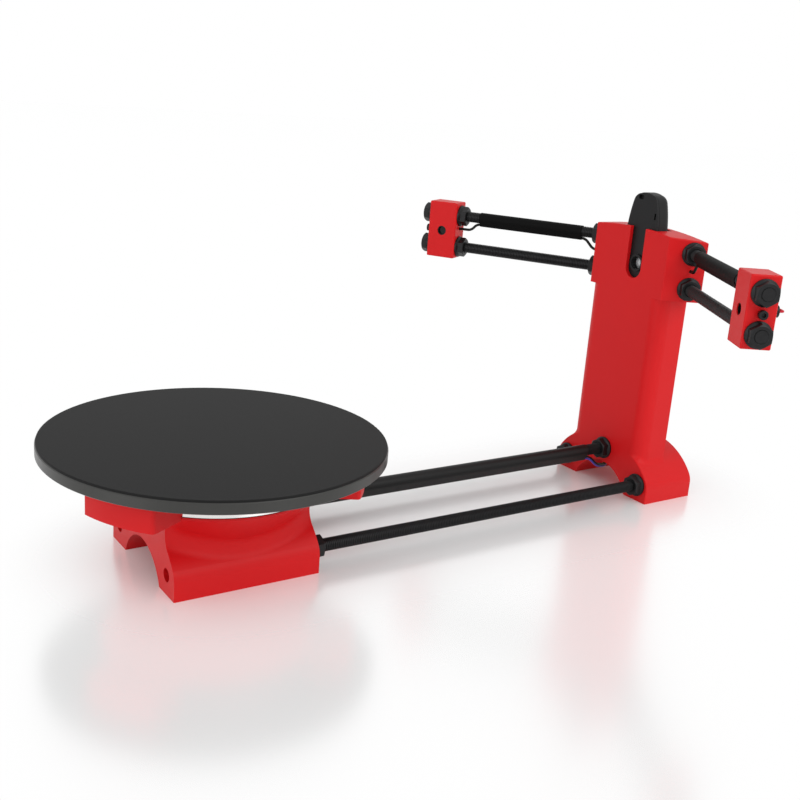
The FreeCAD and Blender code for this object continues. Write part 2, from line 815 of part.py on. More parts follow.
def make_rods():
    inner_end = d.table_x + d.base_inner
    start = inner_end - 60
    stop = d.tower_front + 36
    rods = []
    for side, sign in SIDES.items():
        at = (start, d.side_rod_y * sign, d.side_rod_z)
        rods.append(cylinder("side_rod_" + side, d.rod_radius, stop - start, at, Vector(1, 0, 0)))
    pair = doc.addObject("Part::Compound", "side_rods")
    pair.Links = rods
    keep("side_rods", pair)
    middle_start = d.table_x + d.motor_width / 2 + MIDDLE_ROD_INSET
    keep("middle_rod", cylinder("middle_rod", d.rod_radius, stop - middle_start,
                                (middle_start, 0, d.middle_rod_z), Vector(1, 0, 0)))
    spots = [(0, d.middle_rod_z), (d.side_rod_y, d.side_rod_z), (-d.side_rod_y, d.side_rod_z)]
    places = [pointing((inner_end,) + spot, Vector(1, 0, 0)) for spot in spots]
    places += [pointing((d.tower_front,) + spot, Vector(-1, 0, 0)) for spot in spots]
    group("frame_nuts", flanged_nut(), places)


WIRE_RADIUS = 0.6
WIRE_SPREAD = 0.68
WIRES = {"green": (1, 1), "black": (-1, 1), "red": (1, -1), "blue": (-1, -1)}


def beside(route, across, up):
    """The same route moved sideways, so that it runs parallel to the first along each of its runs."""
    points = [Vector(*point) for point in route]
    runs = [(after - before).normalize() for before, after in zip(points, points[1:])]
    level = Vector(0, 0, 1).cross(runs[0]).normalize()
    offset = level * across + runs[0].cross(level) * up
    moved = [points[0] + offset]
    for corner, run, next_run in zip(points[1:], runs, runs[1:]):
        turned = Rotation(run, next_run).multVec(offset)
        axis = run.cross(next_run).normalize()
        along = axis * offset.dot(axis)
        in_plane = (offset + turned - along * 2) * (1 / (1 + run.dot(next_run)))
        moved.append(corner + along + in_plane)
        offset = turned
    moved.append(points[-1] + offset)
    return [tuple(point) for point in moved]


def make_motor_wires():
    table = number(d.table_x)
    front = number(d.tower_front)
    rod_z = number(d.middle_rod_z)
    bundle = WIRE_SPREAD * math.sqrt(2) + WIRE_RADIUS
    sleeve_start = table + 66
    sleeve_end = front - 19
    run_z = rod_z - number(d.rod_radius) - bundle
    route = [
        (table + 26.65, 0, 22.5), (table + 29.7, 0, 22.5), (table + 33, 0, 16.4), (table + 42, 0, 14.6),
        (table + 51, 0, 15.0), (table + 60, 0, run_z), (front - 14, 0, run_z),
        (front - 6, 0, 15.2), (front + 8, 5, 11.2), (front + 18, 12, 11.5), (front + 20, 12, 20),
        (front + 20, 12, 47), (front + 12.6, 12, 54), (front + 12.6, 12, 59.5),
    ]
    for colour, (across, up) in WIRES.items():
        cord("motor_wire_" + colour, [beside(route, across * WIRE_SPREAD, up * WIRE_SPREAD)], WIRE_RADIUS)
    middle = Vector(sleeve_start, 0, rod_z)
    sleeve("middle_sleeve", middle, Vector(1, 0, 0), sleeve_end - sleeve_start,
           number(d.rod_radius), bundle)


# --- Tower ------------------------------------------------------------------------------------------

def slant_centre(side):
    """The point of a slanted side face of the head where an arm's axis comes out."""
    x = number(d.arm_x)
    y = number(d.head_front_half) + (x - number(d.tower_front)) * math.tan(math.radians(ARM_SWEEP))
    return Vector(x, y * side, 0)


def arm_direction(side):
    sweep = math.radians(ARM_SWEEP)
    return Vector(-math.sin(sweep), side * math.cos(sweep), 0)


def front_direction(side):
    """Level, square to an arm, towards the turntable."""
    sweep = math.radians(ARM_SWEEP)
    return Vector(-math.cos(sweep), -side * math.sin(sweep), 0)


def on_arm(side, distance, height, forward=0.0):
    return tuple(slant_centre(side) + arm_direction(side) * distance
                 + front_direction(side) * forward + Vector(0, 0, height))


def make_tower():
    body = new_body("tower_body")
    foot = sketch_on(body, "YZ", offset=d.tower_front)
    shoulder_outline(foot, d.foot_half, d.foot_arch_radius)
    pad(body, foot, d.foot_back - d.tower_front)
    round_kinks(body, d.foot_half)
    round_end_edges(body, (number(d.tower_front), number(d.foot_back)))
    column = sketch_on(body, "XY", offset=20)
    flat = d.column_half - d.column_corner
    rounded_x = d.tower_front + d.column_corner
    outline(column, [
        (d.column_back, -d.column_half), (d.column_back, d.column_half),
        (rounded_x, d.column_half, d.column_corner, "left"), (d.tower_front, flat),
        (d.tower_front, -flat, d.column_corner, "left"), (rounded_x, -d.column_half),
    ])
    pad(body, column, d.head_bottom - 20)
    blend_neck(body)
    head = sketch_on(body, "XY", offset=d.head_bottom)
    outline(head, [
        (d.tower_front, -d.head_front_half), (d.head_back, -d.head_back_half),
        (d.head_back, d.head_back_half), (d.tower_front, d.head_front_half),
    ])
    pad(body, head, d.head_top - d.head_bottom + 2)
    make_head_top(body)
    make_head_hollows(body)
    make_tower_holes(body)


def blend_neck(body):
    """Rounds the creases where the column's sides and front corners grow out of the foot."""
    flat = number(d.column_half - d.column_corner)
    front = number(d.tower_front)
    back = number(d.column_back)
    round_edges(body, d.neck_blend, lambda edge, middle: (
        flat < abs(middle.y) <= number(d.column_half) + 0.01 and front < middle.x < back
        and number(d.cone_bottom) < middle.z < number(d.shoulder_top)))


def make_head_top(body):
    """Trims the head to its shallow arch."""
    half = 60.0
    edge_z = leg(d.head_arch_radius, half) + d.head_top - d.head_arch_radius
    cap = sketch_on(body, "YZ", offset=d.tower_front - 1)
    outline(cap, [
        (half, edge_z, d.head_arch_radius, "left"), (-half, edge_z), (-half, d.head_top + 9),
        (half, d.head_top + 9),
    ])
    pocket(body, cap, 40.0)
    front_x = number(d.tower_front)
    head_z = number(d.head_bottom)
    round_edges(body, d.edge_round, lambda edge, middle: (
        middle.z > head_z + 5 and (abs(middle.x - front_x) < 0.01 or middle.z > head_z + 40)))


def make_head_hollows(body):
    """The camera's slot and seat, a room for the inner nuts on each side, and the bay in the column."""
    above = d.head_top + 9
    slot_z = d.slot_bottom + d.slot_half
    slot = sketch_on(body, "YZ", offset=d.tower_front - 1)
    outline(slot, [
        (d.camera_y + d.slot_half, slot_z), (d.camera_y + d.slot_half, above),
        (d.camera_y - d.slot_half, above), (d.camera_y - d.slot_half, slot_z, d.slot_half, "left"),
    ])
    seat_front = d.camera_front - SEAT_GAP
    pocket(body, slot, seat_front - d.tower_front + 2)
    seat = sketch_on(body, "YZ", offset=seat_front)
    half = d.camera_half + SEAT_GAP
    outline(seat, [
        (d.camera_y + half, d.camera_z), (d.camera_y + half, above), (d.camera_y - half, above),
        *camera_lower_outline(SEAT_GAP),
    ])
    pocket(body, seat, d.camera_back + 2 * SEAT_GAP - seat_front)
    gland_way = sketch_on(body, "YZ", offset=d.camera_back)
    rectangle(gland_way, d.camera_y - GLAND_WAY_HALF, GLAND_Z - 4, d.camera_y + GLAND_WAY_HALF, above)
    pocket(body, gland_way, 10.0)
    tangent = math.tan(math.radians(ARM_SWEEP))
    inner_y = d.head_front_half - d.head_wall / math.cos(math.radians(ARM_SWEEP))
    front_wall = 3.4
    front_x = d.tower_front + front_wall
    back_x = d.head_back + 4
    room_bottom = d.head_bottom + 2
    room_height = 39.3
    for side, near_y in ((1, 13.5), (-1, -24.0)):
        nut_room = sketch_on(body, "XY", offset=room_bottom)
        outline(nut_room, [
            (front_x, near_y), (back_x, near_y),
            (back_x, (inner_y + (back_x - d.tower_front) * tangent) * side),
            (front_x, (inner_y + (front_x - d.tower_front) * tangent) * side),
        ])
        pocket(body, nut_room, room_height)
    bay_bottom = 42.0
    bay = sketch_on(body, "XY", offset=bay_bottom)
    inside = d.column_half - d.column_wall
    rectangle(bay, d.tower_front + d.column_wall, -inside, d.column_back + 5, inside)
    pocket(body, bay, room_bottom - bay_bottom)


def make_tower_holes(body):
    rods = sketch_on(body, "YZ", offset=d.tower_front - 1)
    circle(rods, 0, d.middle_rod_z, d.rod_radius)
    for sign in SIDES.values():
        circle(rods, d.side_rod_y * sign, d.side_rod_z, d.rod_radius)
    pocket(body, rods, 38.0)
    for side in SIDES.values():
        centre = slant_centre(side)
        face = sketch_on(body, "YZ", offset=centre.x, side=centre.y, turn=(ARM_SWEEP - 90) * side)
        circle(face, 0, d.upper_rod_z, d.rod_radius)
        circle(face, 0, d.lower_rod_z, d.rod_radius)
        circle(face, 0, HEAD_CORD_Z, LASER_CORD + CORD_GAP)
        pocket(body, face, 12.0)
    wire_way = sketch_on(body, "XY")
    circle(wire_way, d.tower_front + 20, 12, 4.0)
    pocket(body, wire_way, 46.0)
    window = sketch_on(body, "XZ", offset=-(d.column_half + 1))
    window_front = 192.6
    window_back = 206.2
    rectangle(window, window_front, 60, window_back, 98)
    pocket(body, window, 8.0)


# --- Camera -----------------------------------------------------------------------------------------

SEAT_GAP = 0.35
GLAND_Z = 172.0
GLAND_WAY_HALF = 3.5


def camera_lower_outline(gap):
    """The camera's outline from its left side at mid height, under it, to its right side."""
    side = d.camera_side_radius + gap
    corner = d.camera_corner + gap
    crown = d.camera_crown_radius + gap
    shoulder_y = d.camera_shoulder_half + gap
    shoulder_z = d.camera_z - d.camera_side_reach
    crown_y = d.camera_crown_half + gap / 2
    crown_z = d.camera_z - d.camera_crown_reach - gap
    return [
        (d.camera_y - d.camera_half - gap, d.camera_z, side, "left"),
        (d.camera_y - shoulder_y, shoulder_z, corner, "left"),
        (d.camera_y - crown_y, crown_z, crown, "left"),
        (d.camera_y + crown_y, crown_z, corner, "left"),
        (d.camera_y + shoulder_y, shoulder_z, side, "left"),
    ]


def camera_outline(body, plane_x):
    """An upright slab's section with bowed sides, round corners and low crowns."""
    sketch = sketch_on(body, "YZ", offset=plane_x)
    lower = camera_lower_outline(0)
    upper = [(d.camera_y * 2 - corner[0], d.camera_z * 2 - corner[1]) + corner[2:] for corner in lower]
    outline(sketch, lower + upper)
    return sketch


def camera_cavity(body, plane_x, half, reach, length):
    """Hollows the camera's case between two bowed sides."""
    bow = d.camera_side_radius - d.camera_wall
    sketch = sketch_on(body, "YZ", offset=plane_x)
    right = d.camera_y - half
    left = d.camera_y + half
    outline(sketch, [
        (left, d.camera_z - reach, bow, "left"), (left, d.camera_z + reach),
        (right, d.camera_z + reach, bow, "left"), (right, d.camera_z - reach),
    ])
    pocket(body, sketch, length)


def make_camera():
    seam = d.camera_front + 1.8
    front = new_body("camera_front_shell")
    pad(front, camera_outline(front, d.camera_front), seam - d.camera_front)
    front_x = number(d.camera_front)
    front_round = 0.9
    round_edges(front, front_round, lambda edge, middle: abs(middle.x - front_x) < 0.01)
    openings = sketch_on(front, "YZ", offset=d.camera_front - 1)
    circle(openings, d.camera_y, d.lens_z, d.lens_ring_radius + 0.1)
    sound_slot = (d.camera_y - 11.8, 199.6, d.camera_y - 10.4, 204.0)
    rectangle(openings, *sound_slot)
    lug_right = d.camera_y + 2.3
    lug_left = d.camera_y + 5.5
    lug_bottom = 212.2
    lug_top = 215.2
    lug_end_radius = 1.7
    outline(openings, [
        (lug_right, lug_bottom), (lug_left, lug_bottom, lug_end_radius, "left"),
        (lug_left, lug_top), (lug_right, lug_top, lug_end_radius, "left"),
    ])
    pocket(front, openings, 4.0)
    make_camera_back(seam)
    make_lens()


def make_camera_back(seam):
    """The case behind the seam, its board and its cable gland."""
    rear = new_body("camera_rear_shell")
    rear_start = seam + 0.25
    pad(rear, camera_outline(rear, rear_start), d.camera_back - rear_start)
    back_x = number(d.camera_back)
    round_edges(rear, d.camera_back_round, lambda edge, middle: abs(middle.x - back_x) < 0.01)
    board_front = seam + 3.8
    board_back = board_front + 1.2
    camera_cavity(rear, rear_start - 1, 9.3, 26.0, board_back - rear_start + 1)
    camera_cavity(rear, board_back - 1, 6.5, 22.5, d.camera_back - d.camera_wall - board_back + 1)
    keep("camera_board", box("camera_board", (board_front, d.camera_y - 8.8, 160.5),
                             (board_back, d.camera_y + 8.8, 209.5)))
    gland_at = (d.camera_back, d.camera_y, GLAND_Z)
    keep("camera_gland", cylinder("camera_gland", 2.4, 5.0, gland_at, Vector(1, 0, 0)))


def make_lens():
    """The lens barrel, from just before the case to the board, and the glass sunk in its mouth."""
    toward = Vector(1, 0, 0)
    barrel_front = d.camera_front - 1.2
    glass_front = barrel_front + 3
    glass_depth = 3.0
    barrel = cylinder("lens_barrel", d.lens_ring_radius, d.camera_front + 5.6 - barrel_front,
                      (barrel_front, d.camera_y, d.lens_z), toward)
    mouth = cylinder("lens_mouth", d.lens_radius, glass_front + glass_depth - barrel_front,
                     (barrel_front, d.camera_y, d.lens_z), toward)
    keep("camera_lens_ring", cut("camera_lens_ring", barrel, [mouth]))
    glass = doc.addObject("Part::Feature", "camera_lens")
    dome_radius = 7.0
    axis_y = number(d.camera_y)
    axis_z = number(d.lens_z)
    apex = number(glass_front)
    dome = Part.makeSphere(dome_radius, Vector(apex + dome_radius, axis_y, axis_z))
    slug = Part.makeCylinder(number(d.lens_radius), glass_depth, Vector(apex, axis_y, axis_z), toward)
    glass.Shape = slug.common(dome)
    keep("camera_lens", glass)


# --- Laser arms -------------------------------------------------------------------------------------

LASER_CORD = 1.0
CORD_GAP = 0.3
LEAD_RADIUS = 0.7
LASER_TAIL = 4.5
CORD_ENTRY_Z = 170.2
HEAD_CORD_Z = 168.3
SLEEVE_START = 15.5
SLEEVE_LENGTH = 82.0
ROD_TAIL = 10.5
SCREW_STAND = 1.5


def make_holder(name, side):
    """A clamp block on the two rods of an arm. Its local x runs out along the arm."""
    outward = arm_direction(side)
    turn = Rotation(Vector(0, 0, 1), math.degrees(math.atan2(outward.y, outward.x)))
    body = new_body(name + "_laser_holder", tuple(slant_centre(side)), turn)
    half = d.holder_depth / 2
    block = sketch_on(body, "XY", offset=d.holder_bottom)
    outer = d.holder_start + d.holder_thick
    rectangle(block, d.holder_start, -half, outer, half)
    pad(body, block, d.holder_height)
    round_edges(body, 1.0, lambda edge, middle: True)
    holes = sketch_on(body, "YZ", offset=d.holder_start - 1)
    circle(holes, 0, d.upper_rod_z, d.rod_radius)
    circle(holes, 0, d.lower_rod_z, d.rod_radius)
    pocket(body, holes, d.holder_thick + 2)
    middle = d.holder_start + d.holder_thick / 2
    bore = sketch_on(body, "XZ", offset=-half - 1)
    circle(bore, middle, d.laser_z, d.laser_radius + 0.03)
    pocket(body, bore, d.holder_depth + 2)
    screw_way = sketch_on(body, "YZ", offset=middle)
    circle(screw_way, 0, d.laser_z, 1.5)
    pocket(body, screw_way, d.holder_thick)
    cord_way = sketch_on(body, "YZ", offset=d.holder_start - 1)
    circle(cord_way, 0, CORD_ENTRY_Z, LASER_CORD + CORD_GAP)
    pocket(body, cord_way, 6.5)


def make_laser(name, side):
    """A brass line-laser barrel with its lens, turned in the clamp to set the line upright."""
    middle = number(d.holder_start + d.holder_thick / 2)
    half = number(d.holder_depth) / 2
    forward = front_direction(side)
    lens_recess = 2.0
    lens_thick = 2.0
    mouth_radius = number(d.laser_radius) - 0.5
    front_at = on_arm(side, middle, number(d.laser_z), half - 0.6)
    length = 2 * half - 0.6 + LASER_TAIL
    barrel = cylinder(name + "_barrel", d.laser_radius, length, front_at, forward * -1)
    mouth = cylinder(name + "_mouth", mouth_radius, lens_recess + lens_thick, front_at, forward * -1)
    keep(name + "_laser_module", cut(name + "_laser_module", barrel, [mouth]))
    lens_at = on_arm(side, middle, number(d.laser_z), half - 0.6 - lens_recess)
    keep(name + "_laser_lens",
         cylinder(name + "_laser_lens", mouth_radius, lens_thick, lens_at, forward * -1))


def laser_lead(side):
    """The route of the short red lead that loops from the laser's back into the holder."""
    middle = number(d.holder_start + d.holder_thick / 2)
    back = -number(d.holder_depth) / 2
    height = number(d.laser_z)
    turn = back - LASER_TAIL - 3.8
    entry = middle - 7.5
    return [on_arm(side, middle, height, back - LASER_TAIL), on_arm(side, middle, height, turn),
            on_arm(side, entry, height, turn), on_arm(side, entry, height, back)]


def make_arm(name, side):
    outward = arm_direction(side)
    end = d.holder_start + d.holder_thick + d.nut_height - 0.3
    rods = []
    for level, rod_z in (("upper", d.upper_rod_z), ("lower", d.lower_rod_z)):
        at = on_arm(side, -ROD_TAIL, number(rod_z))
        rods.append(cylinder("%s_%s_rod" % (name, level), d.rod_radius, end + ROD_TAIL, at, outward))
    pair = doc.addObject("Part::Compound", name + "_arm_rods")
    pair.Links = rods
    keep(name + "_arm_rods", pair)
    make_holder(name, side)
    make_laser(name, side)
    rod_z = number(d.upper_rod_z)
    run_z = rod_z - number(d.rod_radius) - LASER_CORD
    start = Vector(*on_arm(side, SLEEVE_START, rod_z))
    sleeve(name + "_cable_sleeve", start, outward, SLEEVE_LENGTH, number(d.rod_radius), LASER_CORD)
    sleeve_end = SLEEVE_START + SLEEVE_LENGTH
    holder = number(d.holder_start)
    cord(name + "_laser_cable", [[
        (204.8, 20 * side, 119.6), (204.8, 20 * side, 134), (203, 29 * side, 145),
        (203, 29 * side, HEAD_CORD_Z), on_arm(side, -7, HEAD_CORD_Z), on_arm(side, 6, HEAD_CORD_Z),
        on_arm(side, SLEEVE_START - 3, run_z), on_arm(side, sleeve_end + 3, run_z),
        on_arm(side, holder - 10, CORD_ENTRY_Z), on_arm(side, holder + 5, CORD_ENTRY_Z),
    ]], LASER_CORD, bend_reach=2.8)


def make_arm_fasteners():
    flanged = []
    plain = []
    screws = []
    wall = number(d.head_wall)
    start = number(d.holder_start)
    outer = start + number(d.holder_thick)
    screw_length = SCREW_STAND + number(d.holder_thick) / 2 - number(d.laser_radius) - 0.3
    for side in SIDES.values():
        outward = arm_direction(side)
        for rod_z in (number(d.upper_rod_z), number(d.lower_rod_z)):
            flanged.append(pointing(on_arm(side, 0, rod_z), outward))
            flanged.append(pointing(on_arm(side, start, rod_z), outward * -1))
            flanged.append(pointing(on_arm(side, outer, rod_z), outward))
            plain.append(pointing(on_arm(side, -wall, rod_z), outward * -1))
        screws.append(pointing(on_arm(side, outer + SCREW_STAND, number(d.laser_z)), outward))
    group("arm_nuts", flanged_nut(), flanged)
    group("head_inner_nuts", thin_nut(number(d.nut_flats), 4.0, number(d.rod_radius)), plain)
    group("laser_clamp_screws", cap_screw(2.75, 3.0, 1.5, screw_length), screws)


# --- Controller -------------------------------------------------------------------------------------

def make_controller():
    back = d.board_back
    face = d.board_back + d.board_thick
    bottom = d.board_bottom
    screw_radius = 1.4
    corners = [(y * 26.5, number(bottom) + z) for y in (1, -1) for z in (4, 72)]
    blank = box("board_blank", (back, -d.board_half, bottom), (face, d.board_half, bottom + d.board_height))
    holes = [cylinder("board_hole", screw_radius, d.board_thick, (back, y, z), Vector(1, 0, 0))
             for y, z in corners]
    keep("controller_board", cut("controller_board", blank, holes))
    wall = number(d.tower_front + d.column_wall)
    post = Part.makeCylinder(2.6, number(back) - wall)
    screw = cap_screw(2.6, 2.0, screw_radius, number(d.board_thick))
    group("board_standoffs", post, [pointing((wall, y, z), Vector(1, 0, 0)) for y, z in corners])
    group("board_screws", screw, [pointing((face, y, z), Vector(1, 0, 0)) for y, z in corners])
    keep("controller_chip", box("controller_chip", (face, -21, 63), (face + 1.2, -9, 75)))
    port_edge = d.board_half + 2.2
    usb = box("usb_case", (face, 16.2, 62), (face + 10.8, port_edge, 74))
    usb_mouth = box("usb_mouth", (face + 1.6, 20, 63.6), (face + 9.2, port_edge + 1, 72.4))
    keep("usb_port", cut("usb_port", usb, [usb_mouth]))
    jack = box("jack_case", (face, 18.2, 82), (face + 10.8, port_edge, 91))
    jack_mouth = cylinder("jack_mouth", 2.9, 12, (face + 6.2, 21, 86.5), Vector(0, 1, 0))
    keep("power_jack", cut("power_jack", jack, [jack_mouth]))
    make_reset_button(face)
    make_power_switch(face)
    driver_face = face + 8.6
    keep("driver_board", box("driver_board", (face + 7, -24, 100), (driver_face, 24, 121)))
    plugs = [Part.makeBox(5.6, 6.0, 5.0, Vector(number(driver_face), sign * 20 - 3, 114.6))
             for sign in (1, -1)]
    motor_plug = Part.makeBox(6.0, 8.0, 6.0, Vector(number(face), 8.0, 59.5))
    headers = [Part.makeBox(7.0, 2.5, 19.0, Vector(number(face), y, 101)) for y in (-23, 20.5)]
    connectors = doc.addObject("Part::Feature", "board_connectors")
    connectors.Shape = Part.makeCompound(plugs + [motor_plug] + headers)
    keep("board_connectors", connectors)


def make_reset_button(face):
    """A push button: its cap stands clear of its case and travels in."""
    case = box("reset_case", (face, -25, 86), (face + 3.4, -19, 92))
    way = cylinder("reset_way", 1.8, 6, (face + 0.8, -22, 89), Vector(1, 0, 0))
    keep("reset_button_case", cut("reset_button_case", case, [way]))
    keep("reset_button", cylinder("reset_button", 1.75, 3.4, (face + 1.4, -22, 89), Vector(1, 0, 0)))


def make_power_switch(face):
    """A slide switch: its lever travels up and down in a slot."""
    case = box("switch_case", (face, -14, 82), (face + 4, -9, 93))
    way = box("switch_way", (face + 1, -12.8, 83.2), (face + 5, -10.2, 91.8))
    keep("power_switch_case", cut("power_switch_case", case, [way]))
    keep("power_switch_lever", box("power_switch_lever", (face + 1.3, -12.7, 83.5),
                                   (face + 7, -10.3, 87.5)))


# --- Whole machine ----------------------------------------------------------------------------------

make_base()
make_carrier()
make_disc()
make_disc_screws()
make_bearing()
make_motor()
make_rods()
make_motor_wires()
make_tower()
make_camera()
for arm_name, arm_side in SIDES.items():
    make_arm(arm_name, arm_side)
cord("laser_leads", [laser_lead(arm_side) for arm_side in SIDES.values()], LEAD_RADIUS)
make_arm_fasteners()
make_controller()
doc.recompute()

for item in doc.Objects:
    if "Invalid" in item.State or "Error" in item.State:
        raise RuntimeError("%s did not recompute: %s" % (item.Label, item.State))

os.makedirs("parts", exist_ok=True)
for label, item in nodes.items():
    shape = item.Shape
    if shape.isNull() or not shape.isValid() or not shape.Solids:
        raise RuntimeError("%s has no valid shape" % label)
for label, item in nodes.items():
    item.Shape.exportStep("parts/%s.step" % label)
print("%d pieces" % len(nodes))
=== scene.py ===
import math

import bmesh
import bpy
from bpy.props import FloatProperty, FloatVectorProperty, PointerProperty
from mathutils import Matrix, Vector


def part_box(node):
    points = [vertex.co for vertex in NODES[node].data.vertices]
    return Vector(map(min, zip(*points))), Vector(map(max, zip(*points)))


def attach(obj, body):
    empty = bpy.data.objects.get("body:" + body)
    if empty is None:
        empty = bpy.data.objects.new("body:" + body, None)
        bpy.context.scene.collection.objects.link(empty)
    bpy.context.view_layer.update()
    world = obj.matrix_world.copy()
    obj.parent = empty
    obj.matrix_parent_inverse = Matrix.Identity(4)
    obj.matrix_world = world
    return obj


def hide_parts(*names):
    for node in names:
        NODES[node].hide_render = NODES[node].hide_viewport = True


bl_info = {
    "name": "Desktop 3D Scanner",
    "version": (1, 0, 0),
    "blender": (4, 5, 0),
    "location": "3D View > Sidebar > Scanner",
    "description": "Threads, board parts, finishes and studio for a laser turntable scanner",
    "category": "Object",
}

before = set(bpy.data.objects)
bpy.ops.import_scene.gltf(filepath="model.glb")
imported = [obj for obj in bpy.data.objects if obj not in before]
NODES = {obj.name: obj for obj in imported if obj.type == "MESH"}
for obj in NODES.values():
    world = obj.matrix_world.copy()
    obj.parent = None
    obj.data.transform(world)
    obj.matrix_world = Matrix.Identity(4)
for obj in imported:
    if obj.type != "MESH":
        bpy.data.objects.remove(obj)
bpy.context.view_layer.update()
MM = 0.001


# --- Colours and shader nodes -------------------------------------------------------------------------

def linear(code):
    """An sRGB hex colour as linear red, green and blue."""
    parts = [int(code[index:index + 2], 16) / 255 for index in (1, 3, 5)]
    return tuple(part / 12.92 if part <= 0.04045 else ((part + 0.055) / 1.055) ** 2.4 for part in parts)


def add_node(tree, kind, settings=None, links=None):
    """Adds a shader node. A key of settings or links is an input's name or number, or a property."""
    node = tree.nodes.new(kind)
    for key, value in (settings or {}).items():
        if isinstance(key, int) or key in node.inputs:
            node.inputs[key].default_value = value
        else:
            setattr(node, key, value)
    for key, source in (links or {}).items():
        tree.links.new(source, node.inputs[key])
    return node


def new_surface(name, colour, roughness, sockets=None):
    """A material with its one shader. Returns the material, its tree and the shader."""
    material = bpy.data.materials.new(name)
    material.use_nodes = True
    material.diffuse_color = (*colour, 1)
    shader = material.node_tree.nodes["Principled BSDF"]
    shader.inputs["Base Color"].default_value = (*colour, 1)
    shader.inputs["Roughness"].default_value = roughness
    for key, value in (sockets or {}).items():
        shader.inputs[key].default_value = value
    return material, material.node_tree, shader


def placed(tree, centre=(0, 0, 0), scale=(1, 1, 1)):
    """Object coordinates measured from a centre and stretched."""
    coordinates = add_node(tree, "ShaderNodeTexCoord")
    shifted = add_node(tree, "ShaderNodeVectorMath", {"operation": "SUBTRACT", 1: centre},
                       {0: coordinates.outputs["Object"]})
    return add_node(tree, "ShaderNodeVectorMath", {"operation": "MULTIPLY", 1: scale},
                    {0: shifted.outputs["Vector"]}).outputs["Vector"]


def noise(tree, vector, feature_size, detail=3.0):
    """Noise whose blobs are about feature_size metres across."""
    return add_node(tree, "ShaderNodeTexNoise", {"Scale": 1 / feature_size, "Detail": detail},
                    {"Vector": vector}).outputs["Fac"]


def tint(tree, shader, amount, dark, light):
    """Varies the base colour between two colours by a texture."""
    ramp = add_node(tree, "ShaderNodeMix", {"data_type": "RGBA", 6: (*dark, 1), 7: (*light, 1)})
    tree.links.new(amount, ramp.inputs[0])
    tree.links.new(ramp.outputs[2], shader.inputs["Base Color"])


def dull(tree, shader, amount, low, high):
    """Varies the roughness by a texture."""
    spread = add_node(tree, "ShaderNodeMapRange", {"To Min": low, "To Max": high}, {"Value": amount})
    tree.links.new(spread.outputs["Result"], shader.inputs["Roughness"])


def relief(tree, shader, height, depth, below=None):
    """Raises the surface by a texture, depth metres from its lowest to its highest."""
    bump = add_node(tree, "ShaderNodeBump", {"Distance": depth}, {"Height": height})
    if below is not None:
        tree.links.new(below, bump.inputs["Normal"])
    tree.links.new(bump.outputs["Normal"], shader.inputs["Normal"])
    return bump.outputs["Normal"]


def shade(colour, factor):
    return tuple(part * factor for part in colour)


# --- Materials ----------------------------------------------------------------------------------------

def printed_polylactide(colour):
    """PLA laid down in layers: a satin skin with faint level lines and slightly uneven gloss."""
    material, tree, shader = new_surface("printed_pla", colour, 0.42, {
        "IOR": 1.46, "Specular IOR Level": 0.22})
    where = placed(tree)
    patches = noise(tree, where, 25 * MM)
    tint(tree, shader, patches, shade(colour, 0.96), shade(colour, 1.03))
    dull(tree, shader, noise(tree, where, 4 * MM), 0.38, 0.48)
    # Layers are 0.2 mm thick in fact, and are drawn 0.6 mm thick so that they show.
    layer = 0.6 * MM
    lines = add_node(tree, "ShaderNodeTexWave", {"bands_direction": "Z", "Scale": math.pi / 10 / layer,
                                                 "Distortion": 0.4}, {"Vector": where})
    relief(tree, shader, lines.outputs["Fac"], 0.004 * MM)
    return material


def rubber_sheet(colour):
    """A calendered rubber sheet: matt, with a fine pebbled skin."""
    material, tree, shader = new_surface("rubber_sheet", colour, 0.62, {
        "IOR": 1.52, "Specular IOR Level": 0.15})
    where = placed(tree)
    tint(tree, shader, noise(tree, where, 40 * MM), shade(colour, 0.97), shade(colour, 1.03))
    grain = noise(tree, where, 0.7 * MM, 5.0)
    dull(tree, shader, grain, 0.55, 0.7)
    relief(tree, shader, grain, 0.02 * MM)
    return material


def cut_acrylic(colour):
    """Black acrylic sheet cut by laser: a satin edge with fine upright lines left by the beam."""
    material, tree, shader = new_surface("laser_cut_acrylic", colour, 0.32, {
        "IOR": 1.49, "Specular IOR Level": 0.4})
    across = placed(tree, scale=(1, 1, 0.04))
    streaks = noise(tree, across, 1.2 * MM, 4.0)
    tint(tree, shader, streaks, shade(colour, 0.93), shade(colour, 1.07))
    dull(tree, shader, streaks, 0.26, 0.4)
    relief(tree, shader, streaks, 0.01 * MM)
    return material


def blackened_steel(colour):
    """Rolled steel with an oiled black oxide skin: near black, satin, with rubbed lighter patches."""
    material, tree, shader = new_surface("black_oxide_steel", colour, 0.4, {"Metallic": 0.75})
    where = placed(tree)
    rubbed = noise(tree, where, 3 * MM, 6.0)
    tint(tree, shader, rubbed, shade(colour, 0.8), shade(colour, 1.3))
    dull(tree, shader, rubbed, 0.34, 0.5)
    relief(tree, shader, noise(tree, where, 0.4 * MM), 0.006 * MM)
    return material


def plated_steel(colour):
    """Zinc-plated steel: bright and slightly blue, with a cloudy gloss."""
    material, tree, shader = new_surface("zinc_plated_steel", colour, 0.3, {"Metallic": 1.0})
    clouds = noise(tree, placed(tree), 1.5 * MM)
    tint(tree, shader, clouds, shade(colour, 0.85), colour)
    dull(tree, shader, clouds, 0.24, 0.38)
    return material


